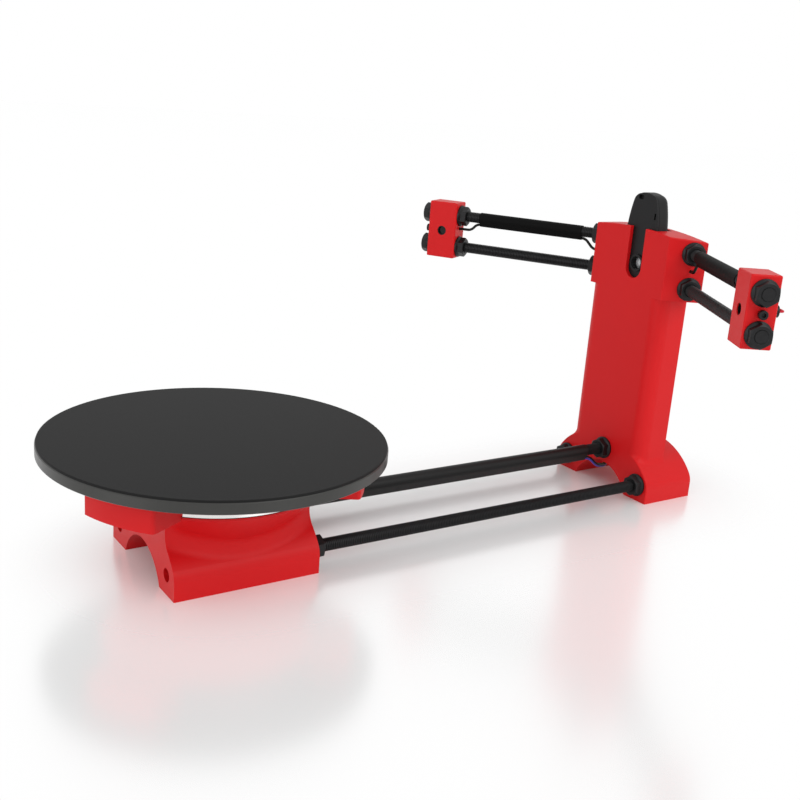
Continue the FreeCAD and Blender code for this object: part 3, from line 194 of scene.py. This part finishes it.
def ground_bearing_steel(colour, axle):
    """Hardened steel ground in the round: bright, with very fine rings about the axle."""
    material, tree, shader = new_surface("ground_bearing_steel", colour, 0.18, {"Metallic": 1.0})
    where = placed(tree, (axle.x, axle.y, 0))
    flat = add_node(tree, "ShaderNodeVectorMath", {"operation": "MULTIPLY", 1: (1, 1, 0)}, {0: where})
    radius = add_node(tree, "ShaderNodeVectorMath", {"operation": "LENGTH"}, {0: flat.outputs["Vector"]})
    parts = add_node(tree, "ShaderNodeSeparateXYZ", links={0: where})
    rings = add_node(tree, "ShaderNodeCombineXYZ", links={0: radius.outputs["Value"], 2: parts.outputs[2]})
    grinding = noise(tree, rings.outputs["Vector"], 0.25 * MM, 4.0)
    tint(tree, shader, grinding, shade(colour, 0.9), colour)
    dull(tree, shader, grinding, 0.12, 0.26)
    return material


def cast_aluminium(colour):
    """Die-cast aluminium end caps: pale grey, softly grained by the die."""
    material, tree, shader = new_surface("cast_aluminium", colour, 0.42, {"Metallic": 1.0})
    grain = noise(tree, placed(tree), 0.8 * MM, 6.0)
    tint(tree, shader, grain, shade(colour, 0.88), colour)
    dull(tree, shader, grain, 0.36, 0.52)
    relief(tree, shader, grain, 0.02 * MM)
    return material


def stacked_steel(colour):
    """Stamped and lacquered motor laminations: dark, with level lines where the sheets meet."""
    material, tree, shader = new_surface("stacked_steel_sheets", colour, 0.45, {"Metallic": 0.7})
    where = placed(tree)
    sheet = 1.0 * MM  # Sheets are 0.5 mm thick in fact, and are drawn twice that so that they show.
    lines = add_node(tree, "ShaderNodeTexWave", {"bands_direction": "Z", "Scale": math.pi / 10 / sheet},
                     {"Vector": where}).outputs["Fac"]
    tint(tree, shader, lines, shade(colour, 0.7), shade(colour, 1.2))
    relief(tree, shader, lines, 0.04 * MM)
    return material


def turned_brass(colour):
    """Turned brass: warm and bright with a cloudy tarnish."""
    material, tree, shader = new_surface("turned_brass", colour, 0.28, {"Metallic": 1.0})
    tarnish = noise(tree, placed(tree), 1.0 * MM, 5.0)
    tint(tree, shader, tarnish, shade(colour, 0.8), colour)
    dull(tree, shader, tarnish, 0.22, 0.4)
    return material


def moulded_nylon(colour):
    """Moulded nylon connector shells: milky, faintly uneven."""
    material, tree, shader = new_surface("moulded_nylon", colour, 0.5, {"IOR": 1.53,
                                                                       "Subsurface Weight": 0.05})
    clouds = noise(tree, placed(tree), 2 * MM)
    tint(tree, shader, clouds, shade(colour, 0.94), colour)
    dull(tree, shader, clouds, 0.42, 0.56)
    return material


def moulded_abs(colour):
    """Moulded ABS with a spark-eroded texture: soft black sheen over a fine pebble."""
    material, tree, shader = new_surface("moulded_abs", colour, 0.5, {
        "IOR": 1.53, "Specular IOR Level": 0.22})
    where = placed(tree)
    tint(tree, shader, noise(tree, where, 8 * MM), shade(colour, 0.92), shade(colour, 1.08))
    pebble = noise(tree, where, 0.35 * MM, 2.0)
    dull(tree, shader, pebble, 0.42, 0.58)
    relief(tree, shader, pebble, 0.012 * MM)
    return material


def cord_jacket(name, colour):
    """Extruded flexible vinyl: satin, with soft scuffs along its length."""
    material, tree, shader = new_surface(name, colour, 0.45, {
        "IOR": 1.54, "Specular IOR Level": 0.22})
    scuffs = noise(tree, placed(tree), 2.5 * MM, 5.0)
    tint(tree, shader, scuffs, shade(colour, 0.85), shade(colour, 1.15))
    dull(tree, shader, scuffs, 0.38, 0.55)
    return material


def sleeve_tubing(colour):
    """Thick soft vinyl tubing: almost black and nearly without gloss, softly scuffed."""
    material, tree, shader = new_surface("soft_vinyl_tubing", colour, 0.55, {
        "IOR": 1.5, "Specular IOR Level": 0.06})
    scuffs = noise(tree, placed(tree), 3 * MM, 5.0)
    tint(tree, shader, scuffs, shade(colour, 0.85), shade(colour, 1.2))
    dull(tree, shader, scuffs, 0.48, 0.65)
    return material


def bloomed_glass(colour):
    """Optical glass under a bloomed coating that stops most of the reflection: deep and dark."""
    material, tree, shader = new_surface("bloomed_optical_glass", colour, 0.1, {
        "IOR": 1.6, "Specular IOR Level": 0.15})
    smudges = noise(tree, placed(tree), 1 * MM)
    tint(tree, shader, smudges, shade(colour, 0.85), colour)
    dull(tree, shader, smudges, 0.08, 0.2)
    return material


def glass_with_painted_reflection(colour):
    """Polished optical glass over a dark barrel under a thin coating, whose pale grey colour is a painted
    reflection.
    """
    material, tree, shader = new_surface("optical_glass_painted_reflection", colour, 0.06, {
        "IOR": 1.6, "Coat Weight": 1.0, "Coat Roughness": 0.03, "Coat IOR": 1.8})
    smudges = noise(tree, placed(tree), 2 * MM)
    tint(tree, shader, smudges, shade(colour, 0.9), colour)
    dull(tree, shader, smudges, 0.04, 0.1)
    return material


def anodised_aluminium(colour):
    """Aluminium turned or extruded and anodised black: dark metal with a soft gloss."""
    material, tree, shader = new_surface("black_anodised_aluminium", colour, 0.35, {"Metallic": 0.6})
    fine = noise(tree, placed(tree), 0.5 * MM, 4.0)
    tint(tree, shader, fine, shade(colour, 0.85), shade(colour, 1.15))
    dull(tree, shader, fine, 0.3, 0.42)
    return material


def drawn_aluminium(colour):
    """Deep-drawn capacitor cans: bright satin aluminium, faintly streaked along the draw."""
    material, tree, shader = new_surface("drawn_aluminium", colour, 0.3, {"Metallic": 1.0})
    streaks = noise(tree, placed(tree, scale=(0.1, 1, 1)), 0.5 * MM, 4.0)
    tint(tree, shader, streaks, shade(colour, 0.85), colour)
    dull(tree, shader, streaks, 0.24, 0.4)
    return material


def fired_ceramic(colour):
    """Fired ceramic chip capacitors: biscuit brown, dry and faintly speckled."""
    material, tree, shader = new_surface("fired_ceramic", colour, 0.45, {"IOR": 1.6})
    specks = noise(tree, placed(tree), 0.3 * MM, 4.0)
    tint(tree, shader, specks, shade(colour, 0.8), colour)
    dull(tree, shader, specks, 0.38, 0.55)
    return material


def printed_circuit(colour, copper):
    """Glass-epoxy board under green solder mask, with copper tracks that show as paler lines."""
    material, tree, shader = new_surface("solder_masked_board", colour, 0.3, {"IOR": 1.55})
    where = placed(tree, scale=(0, 1, 1))
    turned = add_node(tree, "ShaderNodeVectorRotate", {"rotation_type": "Y_AXIS", "Angle": math.pi / 2},
                      {"Vector": where}).outputs["Vector"]
    track = 2.4 * MM
    bricks = add_node(tree, "ShaderNodeTexBrick", {
        "Scale": 1 / track, "Mortar Size": 0.09, "Brick Width": 3.0, "Row Height": 0.5,
        "Color1": (0, 0, 0, 1), "Color2": (0, 0, 0, 1), "Mortar": (1, 1, 1, 1)}, {"Vector": turned})
    tint(tree, shader, bricks.outputs["Fac"], colour, copper)
    relief(tree, shader, bricks.outputs["Fac"], 0.04 * MM)
    return material


def stamped_steel(colour):
    """Stamped and tinned steel cases: bright with faint rolling lines."""
    material, tree, shader = new_surface("tinned_steel", colour, 0.25, {"Metallic": 1.0})
    lines = noise(tree, placed(tree, scale=(1, 0.1, 1)), 0.6 * MM, 4.0)
    tint(tree, shader, lines, shade(colour, 0.82), colour)
    dull(tree, shader, lines, 0.2, 0.36)
    return material


# --- What a user would change --------------------------------------------------------------------------

def colour_property(name, description, code):
    return FloatVectorProperty(name=name, description=description, default=linear(code), size=3,
                               min=0.0, max=1.0, subtype="COLOR")


class ScannerColours(bpy.types.PropertyGroup):
    printed: colour_property("Printed parts", "Colour of the printed frame, carrier and holders", "#D01418")
    mat: colour_property("Turntable mat", "Colour of the rubber sheet on the disc", "#151515")
    disc: colour_property("Disc rim", "Colour of the disc under the mat", "#31312F")
    steel: colour_property("Blackened steel", "Colour of rods, nuts and screws", "#242425")
    casing: colour_property("Black plastic", "Colour of the camera's case", "#141415")


class ThreadSizes(bpy.types.PropertyGroup):
    pitch: FloatProperty(name="Pitch", description="Distance from one turn of thread to the next",
                         default=1.25 * MM, min=0.0005, max=0.003, unit="LENGTH")
    depth: FloatProperty(name="Depth", description="Depth of the thread below the rod's outside",
                         default=0.45 * MM, min=0.0001, max=0.001, unit="LENGTH")


class StudioSettings(bpy.types.PropertyGroup):
    floor: colour_property("Floor", "Colour of the glossy floor", "#FBFAFA")
    world_light: FloatProperty(name="World light", description="Strength of the even light all round",
                               default=0.72, min=0.0, max=3.0)
    key_power: FloatProperty(name="Key light", description="Power of the large soft lamp on the right",
                             default=9.5, min=0.0, max=200.0, unit="POWER")
    fill_power: FloatProperty(name="Fill light", description="Power of the soft lamp before the turntable",
                              default=5.5, min=0.0, max=200.0, unit="POWER")


# --- Threads ------------------------------------------------------------------------------------------

TURN_STEPS = 24


def threaded_bar(start, along, length, radius, sizes):
    """One bar with a helical thread, cut square at both ends and closed."""
    bm = bmesh.new()
    pitch = sizes.pitch
    root = radius - sizes.depth
    profile = [(root, 0.0), (root, 0.14), (radius, 0.32), (radius, 0.68), (root, 0.86), (root, 1.0)]
    corners = [bm.verts.new((out, 0, (share - 1) * pitch)) for out, share in profile]
    edges = [bm.edges.new(pair) for pair in zip(corners, corners[1:])]
    bmesh.ops.spin(bm, geom=corners + edges, cent=(0, 0, 0), axis=(0, 0, 1),
                   dvec=(0, 0, pitch / TURN_STEPS), angle=2 * math.pi, steps=TURN_STEPS, use_merge=False)
    turns = 1
    while turns * pitch < length + pitch:
        made = bmesh.ops.duplicate(bm, geom=bm.verts[:] + bm.edges[:] + bm.faces[:])
        copied = [item for item in made["geom"] if isinstance(item, bmesh.types.BMVert)]
        bmesh.ops.translate(bm, vec=(0, 0, turns * pitch), verts=copied)
        turns *= 2
    bmesh.ops.remove_doubles(bm, verts=bm.verts, dist=pitch / 200)
    for level, outward in ((0.0, -1), (length, 1)):
        bmesh.ops.bisect_plane(bm, geom=bm.verts[:] + bm.edges[:] + bm.faces[:], dist=1e-7,
                               plane_co=(0, 0, level), plane_no=(0, 0, outward), clear_outer=True)
        rim = [edge for edge in bm.edges if edge.is_boundary
               and all(abs(vert.co.z - level) < 1e-6 for vert in edge.verts)]
        bmesh.ops.contextual_create(bm, geom=rim)
    bmesh.ops.recalc_face_normals(bm, faces=bm.faces)
    turn = Vector((0, 0, 1)).rotation_difference(along).to_matrix().to_4x4()
    bmesh.ops.transform(bm, matrix=Matrix.Translation(start) @ turn, verts=bm.verts)
    return bm


def joined(name, parts):
    """One mesh object of several bmeshes."""
    whole = bmesh.new()
    for part in parts:
        mesh = bpy.data.meshes.new(name)
        part.to_mesh(mesh)
        part.free()
        whole.from_mesh(mesh)
        bpy.data.meshes.remove(mesh)
    mesh = bpy.data.meshes.new(name)
    whole.to_mesh(mesh)
    whole.free()
    made = bpy.data.objects.new(name, mesh)
    bpy.context.scene.collection.objects.link(made)
    return made


def add_piece(name, parts, material, angle):
    """A finished piece of several bmeshes that stays with the stand."""
    made = joined(name, parts)
    smooth_by_angle(made, angle)
    made.data.materials.append(material)
    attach(made, "stand")
    return made


def smooth_by_angle(made, degrees):
    made.data.polygons.foreach_set("use_smooth", [True] * len(made.data.polygons))
    made.data.set_sharp_from_angle(angle=math.radians(degrees))


def level_rods(node):
    """Start, direction and length of the rods that lie along X in a node."""
    low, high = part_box(node)
    radius = rod_radius()
    sides = [0.0] if high.y - low.y < 3 * radius else [high.y - radius, low.y + radius]
    return [(Vector((low.x, side, (low.z + high.z) / 2)), Vector((1, 0, 0)), high.x - low.x)
            for side in sides]


def rod_radius():
    low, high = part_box("middle_rod")
    return (high.z - low.z) / 2


ARM_SWEEP = math.radians(31.4)


def arm_rods(node, side):
    """Start, direction and length of the upper and the lower rod of an arm."""
    low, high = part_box(node)
    radius = rod_radius()
    along = Vector((-math.sin(ARM_SWEEP), side * math.cos(ARM_SWEEP), 0))
    length = (high.x - low.x - 2 * radius * abs(along.y)) / abs(along.x)
    start_x = high.x - radius * abs(along.y)
    near = low.y if side > 0 else high.y
    start_y = near + side * radius * abs(along.x)
    return [(Vector((start_x, start_y, z)), along, length) for z in (high.z - radius, low.z + radius)]


class SCANNER_OT_threads(bpy.types.Operator):
    """Cuts real threads on the rods of the frame and the arms"""
    bl_idname = "scanner.threads"
    bl_label = "Threaded rods"

    def execute(self, context):
        sizes = context.scene.scanner_threads
        steel = blackened_steel(context.scene.scanner_colours.steel)
        routes = {
            "side_rods": level_rods("side_rods"),
            "middle_rod": level_rods("middle_rod"),
            "left_arm_rods": arm_rods("left_arm_rods", 1),
            "right_arm_rods": arm_rods("right_arm_rods", -1),
        }
        for node, bars in routes.items():
            cut_bars = [threaded_bar(*bar, rod_radius(), sizes) for bar in bars]
            made = add_piece(node + "_threaded", cut_bars, steel, 25)
            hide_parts(node)
        return {"FINISHED"}


# --- Small parts on the boards ------------------------------------------------------------------------

PIN_PITCH = 1.27 * MM
PINS_A_SIDE = 8


def block(low, high, bevel):
    """A box between two corners with softened edges."""
    bm = bmesh.new()
    bmesh.ops.create_cube(bm, size=1.0)
    low, high = Vector(low), Vector(high)
    bmesh.ops.scale(bm, vec=high - low, verts=bm.verts)
    bmesh.ops.translate(bm, vec=(low + high) / 2, verts=bm.verts)
    bmesh.ops.bevel(bm, geom=bm.edges[:], offset=bevel, segments=2, profile=0.5, affect="EDGES",
                    material=-1)
    return bm


def chip_pins():
    """Short flat pins that come out of all four sides of the main chip."""
    low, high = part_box("controller_chip")
    middle = (low + high) / 2
    half_pin = 0.22 * MM
    reach = 1.0 * MM
    thick = 0.4 * MM
    pins = []
    for step in range(PINS_A_SIDE):
        shift = (step - (PINS_A_SIDE - 1) / 2) * PIN_PITCH
        for edge, out in ((low, -reach), (high, reach)):
            across = sorted((edge.y, edge.y + out))
            pins.append(((low.x, across[0], middle.z + shift - half_pin),
                         (low.x + thick, across[1], middle.z + shift + half_pin)))
            upward = sorted((edge.z, edge.z + out))
            pins.append(((low.x, middle.y + shift - half_pin, upward[0]),
                         (low.x + thick, middle.y + shift + half_pin, upward[1])))
    return [block(*corners, 0.08 * MM) for corners in pins]


def capacitor_can(face, y, z):
    """A can that stands on a board, pinched near its foot and with a rounded top."""
    radius = 3.1 * MM
    height = 6.0 * MM
    profile = [(0.0, 0.0), (0.0, 1.0), (0.14, 1.0), (0.2, 0.9), (0.26, 1.0), (0.93, 1.0), (1.0, 0.9),
               (1.0, 0.62), (0.97, 0.6), (0.97, 0.0)]
    bm = bmesh.new()
    corners = [bm.verts.new((face + up * height, y, z + out * radius)) for up, out in profile]
    edges = [bm.edges.new(pair) for pair in zip(corners, corners[1:])]
    bmesh.ops.spin(bm, geom=corners + edges, cent=(0, y, z), axis=(1, 0, 0), angle=2 * math.pi,
                   steps=32, use_merge=True)
    bmesh.ops.remove_doubles(bm, verts=bm.verts, dist=radius / 1000)
    bmesh.ops.recalc_face_normals(bm, faces=bm.faces)
    return bm


def ceramic_grid(face):
    """Bodies and soldered ends of small capacitors set out in rows between the sockets."""
    length = 2.0 * MM
    width = 1.25 * MM
    top = face + 0.8 * MM
    end = 0.4 * MM
    bevel = end / 6
    rows = [69.5 * MM + step * 4.2 * MM for step in range(4)]
    columns = [-5.5 * MM + step * 3.6 * MM for step in range(4)]
    bodies = []
    ends = []
    for z in rows:
        for y in columns:
            bodies.append(block((face, y + end, z), (top, y + length - end, z + width), bevel))
            for start in (y, y + length - end):
                ends.append(block((face, start, z), (top, start + end, z + width), bevel))
    return bodies, ends


def heat_sink(face, y, z):
    """A small extruded sink: a foot and five upright fins."""
    half = 4.5 * MM
    foot = face + 1.3 * MM
    tip = face + 5.0 * MM
    fin = 0.9 * MM
    fins = 5
    parts = [block((face, y - half, z - half), (foot, y + half, z + half), 0.1 * MM)]
    for step in range(fins):
        start = y - half + step * (2 * half - fin) / (fins - 1)
        parts.append(block((foot, start, z - half), (tip, start + fin, z + half), 0.12 * MM))
    return parts


class SCANNER_OT_board_parts(bpy.types.Operator):
    """Adds the chip's pins, the capacitors and the drivers' heat sinks to the boards"""
    bl_idname = "scanner.board_parts"
    bl_label = "Board parts"

    def execute(self, context):
        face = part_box("controller_board")[1].x
        low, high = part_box("driver_board")
        sink_z = (low.z + high.z) / 2
        sink_y = 8 * MM
        can_z = 92 * MM
        tinned = stamped_steel(linear("#C9C9C6"))
        add_piece("chip_pins", chip_pins(), tinned, 40)
        cans = [capacitor_can(face, y * MM, can_z) for y in (-3.5, 4.0, 11.5)]
        add_piece("capacitor_cans", cans, drawn_aluminium(linear("#C6C7C8")), 35)
        bodies, ends = ceramic_grid(face)
        add_piece("ceramic_capacitors", bodies, fired_ceramic(linear("#9C7B55")), 40)
        add_piece("ceramic_capacitor_ends", ends, tinned, 40)
        sinks = heat_sink(high.x, -sink_y, sink_z) + heat_sink(high.x, sink_y, sink_z)
        add_piece("driver_heat_sinks", sinks, anodised_aluminium(linear("#1B1B1C")), 40)
        return {"FINISHED"}


# --- Finishes -----------------------------------------------------------------------------------------

def finish_nodes(material, names):
    for name in names:
        mesh = NODES[name].data
        mesh.materials.clear()
        mesh.materials.append(material)


class SCANNER_OT_printed_finish(bpy.types.Operator):
    """Finishes the printed frame, carrier and laser holders"""
    bl_idname = "scanner.printed_finish"
    bl_label = "Printed parts"

    def execute(self, context):
        finish_nodes(printed_polylactide(context.scene.scanner_colours.printed), [
            "base_body", "table_carrier", "tower_body", "left_laser_holder", "right_laser_holder"])
        return {"FINISHED"}


class SCANNER_OT_table_finish(bpy.types.Operator):
    """Finishes the turntable's disc and mat, and the bearing under it"""
    bl_idname = "scanner.table_finish"
    bl_label = "Turntable"

    def execute(self, context):
        colours = context.scene.scanner_colours
        low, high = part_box("turntable_disc")
        finish_nodes(rubber_sheet(colours.mat), ["turntable_mat"])
        finish_nodes(cut_acrylic(colours.disc), ["turntable_disc"])
        finish_nodes(ground_bearing_steel(linear("#E8E6E4"), (low + high) / 2), [
            "bearing_inner_race", "bearing_outer_race", "bearing_balls", "motor_shaft"])
        finish_nodes(turned_brass(linear("#C9A55A")), ["bearing_cage", "board_standoffs"])
        return {"FINISHED"}


class SCANNER_OT_fastener_finish(bpy.types.Operator):
    """Finishes nuts and screws"""
    bl_idname = "scanner.fastener_finish"
    bl_label = "Nuts and screws"

    def execute(self, context):
        finish_nodes(blackened_steel(context.scene.scanner_colours.steel), [
            "frame_nuts", "arm_nuts", "head_inner_nuts", "laser_clamp_screws", "disc_screws",
            "hub_grub_screw"])
        finish_nodes(plated_steel(linear("#C8CACC")), ["motor_mount_screws", "board_screws"])
        return {"FINISHED"}


class SCANNER_OT_motor_finish(bpy.types.Operator):
    """Finishes the stepper motor"""
    bl_idname = "scanner.motor_finish"
    bl_label = "Motor"

    def execute(self, context):
        finish_nodes(cast_aluminium(linear("#B9BABB")), ["motor_front_cap", "motor_rear_cap"])
        finish_nodes(stacked_steel(linear("#2A2A2B")), ["motor_stator", "motor_rotor"])
        finish_nodes(moulded_nylon(linear("#E4E0D4")), ["motor_socket", "board_connectors"])
        return {"FINISHED"}


class SCANNER_OT_camera_finish(bpy.types.Operator):
    """Finishes the camera and the small black plastic parts"""
    bl_idname = "scanner.camera_finish"
    bl_label = "Camera"

    def execute(self, context):
        finish_nodes(moulded_abs(context.scene.scanner_colours.casing), [
            "camera_front_shell", "camera_rear_shell", "camera_lens_ring", "reset_button",
            "power_switch_lever", "power_jack", "controller_chip"])
        # The lens's pale grey colour is a painted reflection, not the glass's own colour.
        finish_nodes(glass_with_painted_reflection(linear("#B2B4B6")), ["camera_lens"])
        return {"FINISHED"}


class SCANNER_OT_laser_finish(bpy.types.Operator):
    """Finishes the two line lasers"""
    bl_idname = "scanner.laser_finish"
    bl_label = "Lasers"

    def execute(self, context):
        finish_nodes(anodised_aluminium(linear("#1B1B1C")), ["left_laser_module", "right_laser_module"])
        finish_nodes(bloomed_glass(linear("#1C1E1B")), ["left_laser_lens", "right_laser_lens"])
        return {"FINISHED"}


class SCANNER_OT_cord_finish(bpy.types.Operator):
    """Finishes the wires, cables and sleeves"""
    bl_idname = "scanner.cord_finish"
    bl_label = "Wires and sleeves"

    def execute(self, context):
        finish_nodes(sleeve_tubing(linear("#0D0D0D")), ["left_cable_sleeve", "right_cable_sleeve"])
        finish_nodes(cord_jacket("black_vinyl", linear("#0E0E0E")), [
            "left_laser_cable", "right_laser_cable", "middle_sleeve", "camera_gland", "motor_wire_black"])
        finish_nodes(cord_jacket("blue_vinyl", linear("#4447A8")), ["motor_wire_blue"])
        finish_nodes(cord_jacket("red_vinyl", linear("#C8142C")), ["motor_wire_red", "laser_leads"])
        finish_nodes(cord_jacket("green_vinyl", linear("#1F7A3C")), ["motor_wire_green"])
        return {"FINISHED"}


class SCANNER_OT_board_finish(bpy.types.Operator):
    """Finishes the circuit boards and their metal sockets"""
    bl_idname = "scanner.board_finish"
    bl_label = "Boards"

    def execute(self, context):
        finish_nodes(printed_circuit(linear("#0F4A2C"), linear("#2B7A4C")), [
            "controller_board", "driver_board", "camera_board"])
        finish_nodes(stamped_steel(linear("#C9C9C6")), [
            "usb_port", "reset_button_case", "power_switch_case"])
        return {"FINISHED"}


# --- Studio -------------------------------------------------------------------------------------------

# Half way between the turntable's axis and the tower, and half of the distance between them.
FOOTPRINT_CENTRE = (0.035, 0, 0)
FOOTPRINT_HALF = 0.165


def directly_seen(tree):
    """One for rays from the camera and for mirror and glass rays, and zero for the rest."""
    path = add_node(tree, "ShaderNodeLightPath")
    seen = path.outputs["Is Camera Ray"]
    for name in ("Is Glossy Ray", "Is Transmission Ray"):
        seen = add_node(tree, "ShaderNodeMath", {"operation": "MAXIMUM"},
                        {0: seen, 1: path.outputs[name]}).outputs["Value"]
    return seen


def glossy_floor(colour):
    """Lacquered white laminate: a mirror over white, with a painted white glow that fades its shadows out
    away from the scanner.
    """
    material, tree, shader = new_surface("polished_white_laminate", colour, 0.6, {"Specular IOR Level": 0.0})
    where = placed(tree, FOOTPRINT_CENTRE)
    parts = add_node(tree, "ShaderNodeSeparateXYZ", links={
        0: add_node(tree, "ShaderNodeVectorMath", {"operation": "ABSOLUTE"}, {0: where}).outputs["Vector"]})
    beyond = add_node(tree, "ShaderNodeMath", {"operation": "SUBTRACT", 1: FOOTPRINT_HALF},
                      {0: parts.outputs[0]})
    ahead = add_node(tree, "ShaderNodeMath", {"operation": "MAXIMUM", 1: 0.0}, {0: beyond.outputs["Value"]})
    offset = add_node(tree, "ShaderNodeCombineXYZ", links={0: ahead.outputs["Value"], 1: parts.outputs[1]})
    distance = add_node(tree, "ShaderNodeVectorMath", {"operation": "LENGTH"}, {0: offset.outputs["Vector"]})
    fade = add_node(tree, "ShaderNodeMapRange", {
        "interpolation_type": "SMOOTHSTEP", "From Min": 0.01, "From Max": 0.13},
        {"Value": distance.outputs["Value"]})
    share = add_node(tree, "ShaderNodeMath", {"operation": "MULTIPLY"},
                     {0: fade.outputs["Result"], 1: directly_seen(tree)})
    # A painted white glow for directly seen rays, mixed in by distance from the footprint, paints out the
    # floor's shadows.
    white = add_node(tree, "ShaderNodeEmission", {"Color": (1, 1, 1, 1), "Strength": 1.0})
    shadow_fading_glow = add_node(tree, "ShaderNodeMixShader", links={
        0: share.outputs["Value"], 1: shader.outputs["BSDF"], 2: white.outputs["Emission"]})
    mirror = add_node(tree, "ShaderNodeBsdfGlossy", {"Color": (1, 1, 1, 1), "Roughness": 0.22})
    lacquered = add_node(tree, "ShaderNodeMixShader", {0: 0.3}, {
        1: shadow_fading_glow.outputs["Shader"], 2: mirror.outputs["BSDF"]})
    tree.links.new(lacquered.outputs["Shader"], tree.nodes["Material Output"].inputs["Surface"])
    return material


def white_room(strength):
    """An even pale world that the camera, glossy and glass rays see as white."""
    world = bpy.data.worlds.new("studio")
    world.use_nodes = True
    tree = world.node_tree
    background = tree.nodes["Background"]
    background.inputs["Color"].default_value = (1, 1, 1, 1)
    seen = directly_seen(tree)
    level = add_node(tree, "ShaderNodeMapRange", {"To Min": strength, "To Max": 1.0}, {"Value": seen})
    tree.links.new(level.outputs["Result"], background.inputs["Strength"])
    return world


def aimed(location, target, roll=0.0):
    """A matrix at location whose -Z axis points at target."""
    turn = (Vector(target) - Vector(location)).to_track_quat("-Z", "Y").to_matrix().to_4x4()
    return Matrix.Translation(location) @ turn @ Matrix.Rotation(roll, 4, "Z")


def soft_lamp(name, location, target, size, power):
    lamp = bpy.data.lights.new(name, "AREA")
    lamp.shape = "DISK"
    lamp.size = size
    lamp.energy = power
    holder = bpy.data.objects.new(name, lamp)
    holder.matrix_world = aimed(location, target)
    bpy.context.scene.collection.objects.link(holder)


def make_camera():
    """The camera stands to the near side of the turntable, a little above the tower."""
    place = Vector((-0.381454, -0.550582, 0.28028))
    yaw, pitch, roll = 0.602, -0.286, 0.077
    ahead = Vector((math.sin(yaw) * math.cos(pitch), math.cos(yaw) * math.cos(pitch), math.sin(pitch)))
    level_right = ahead.cross(Vector((0, 0, 1))).normalized()
    level_up = level_right.cross(ahead)
    right = level_right * math.cos(roll) + level_up * math.sin(roll)
    up = level_up * math.cos(roll) - level_right * math.sin(roll)
    camera = bpy.data.cameras.new("camera")
    camera.sensor_width = 36.0
    camera.lens = 49.04
    camera.clip_start = 0.01
    holder = bpy.data.objects.new("camera", camera)
    turn = Matrix((right, up, -ahead)).transposed().to_4x4()
    holder.matrix_world = Matrix.Translation(place) @ turn
    bpy.context.scene.collection.objects.link(holder)
    bpy.context.scene.camera = holder


class SCANNER_OT_studio(bpy.types.Operator):
    """Lays the floor, lights the scene and sets up the camera"""
    bl_idname = "scanner.studio"
    bl_label = "Studio"

    def execute(self, context):
        studio = context.scene.scanner_studio
        bm = bmesh.new()
        bmesh.ops.create_grid(bm, x_segments=1, y_segments=1, size=6.0)
        mesh = bpy.data.meshes.new("floor")
        bm.to_mesh(mesh)
        bm.free()
        floor = bpy.data.objects.new("floor", mesh)
        context.scene.collection.objects.link(floor)
        floor.data.materials.append(glossy_floor(studio.floor))
        context.scene.world = white_room(studio.world_light)
        soft_lamp("key_lamp", (0.3, -1.3, 1.1), (0, 0, 0.1), 1.2, studio.key_power)
        soft_lamp("fill_lamp", (-1.7, -0.3, 0.6), (0, 0, 0.1), 1.0, studio.fill_power)
        make_camera()
        context.scene.view_settings.view_transform = "Standard"
        return {"FINISHED"}


# --- Panel and main -----------------------------------------------------------------------------------

OPERATORS = (
    SCANNER_OT_threads, SCANNER_OT_board_parts, SCANNER_OT_printed_finish, SCANNER_OT_table_finish,
    SCANNER_OT_fastener_finish, SCANNER_OT_motor_finish, SCANNER_OT_camera_finish, SCANNER_OT_laser_finish,
    SCANNER_OT_cord_finish, SCANNER_OT_board_finish, SCANNER_OT_studio,
)


class SCANNER_PT_panel(bpy.types.Panel):
    """Lists the scanner's pieces, finishes and studio"""
    bl_idname = "SCANNER_PT_panel"
    bl_label = "Desktop 3D Scanner"
    bl_space_type = "VIEW_3D"
    bl_region_type = "UI"
    bl_category = "Scanner"

    def draw(self, context):
        for group in (context.scene.scanner_colours, context.scene.scanner_threads,
                      context.scene.scanner_studio):
            box = self.layout.box()
            for name in group.bl_rna.properties.keys():
                if name not in ("rna_type", "name"):
                    box.prop(group, name)
        for operator in OPERATORS:
            self.layout.operator(operator.bl_idname)


CLASSES = (ScannerColours, ThreadSizes, StudioSettings, *OPERATORS, SCANNER_PT_panel)


def register():
    for item in CLASSES:
        bpy.utils.register_class(item)
    bpy.types.Scene.scanner_colours = PointerProperty(type=ScannerColours)
    bpy.types.Scene.scanner_threads = PointerProperty(type=ThreadSizes)
    bpy.types.Scene.scanner_studio = PointerProperty(type=StudioSettings)


def unregister():
    del bpy.types.Scene.scanner_studio
    del bpy.types.Scene.scanner_threads
    del bpy.types.Scene.scanner_colours
    for item in reversed(CLASSES):
        bpy.utils.unregister_class(item)


def main():
    register()
    for operator in OPERATORS:
        getattr(bpy.ops.scanner, operator.bl_idname.split(".")[1])()


if __name__ == "__main__":
    main()
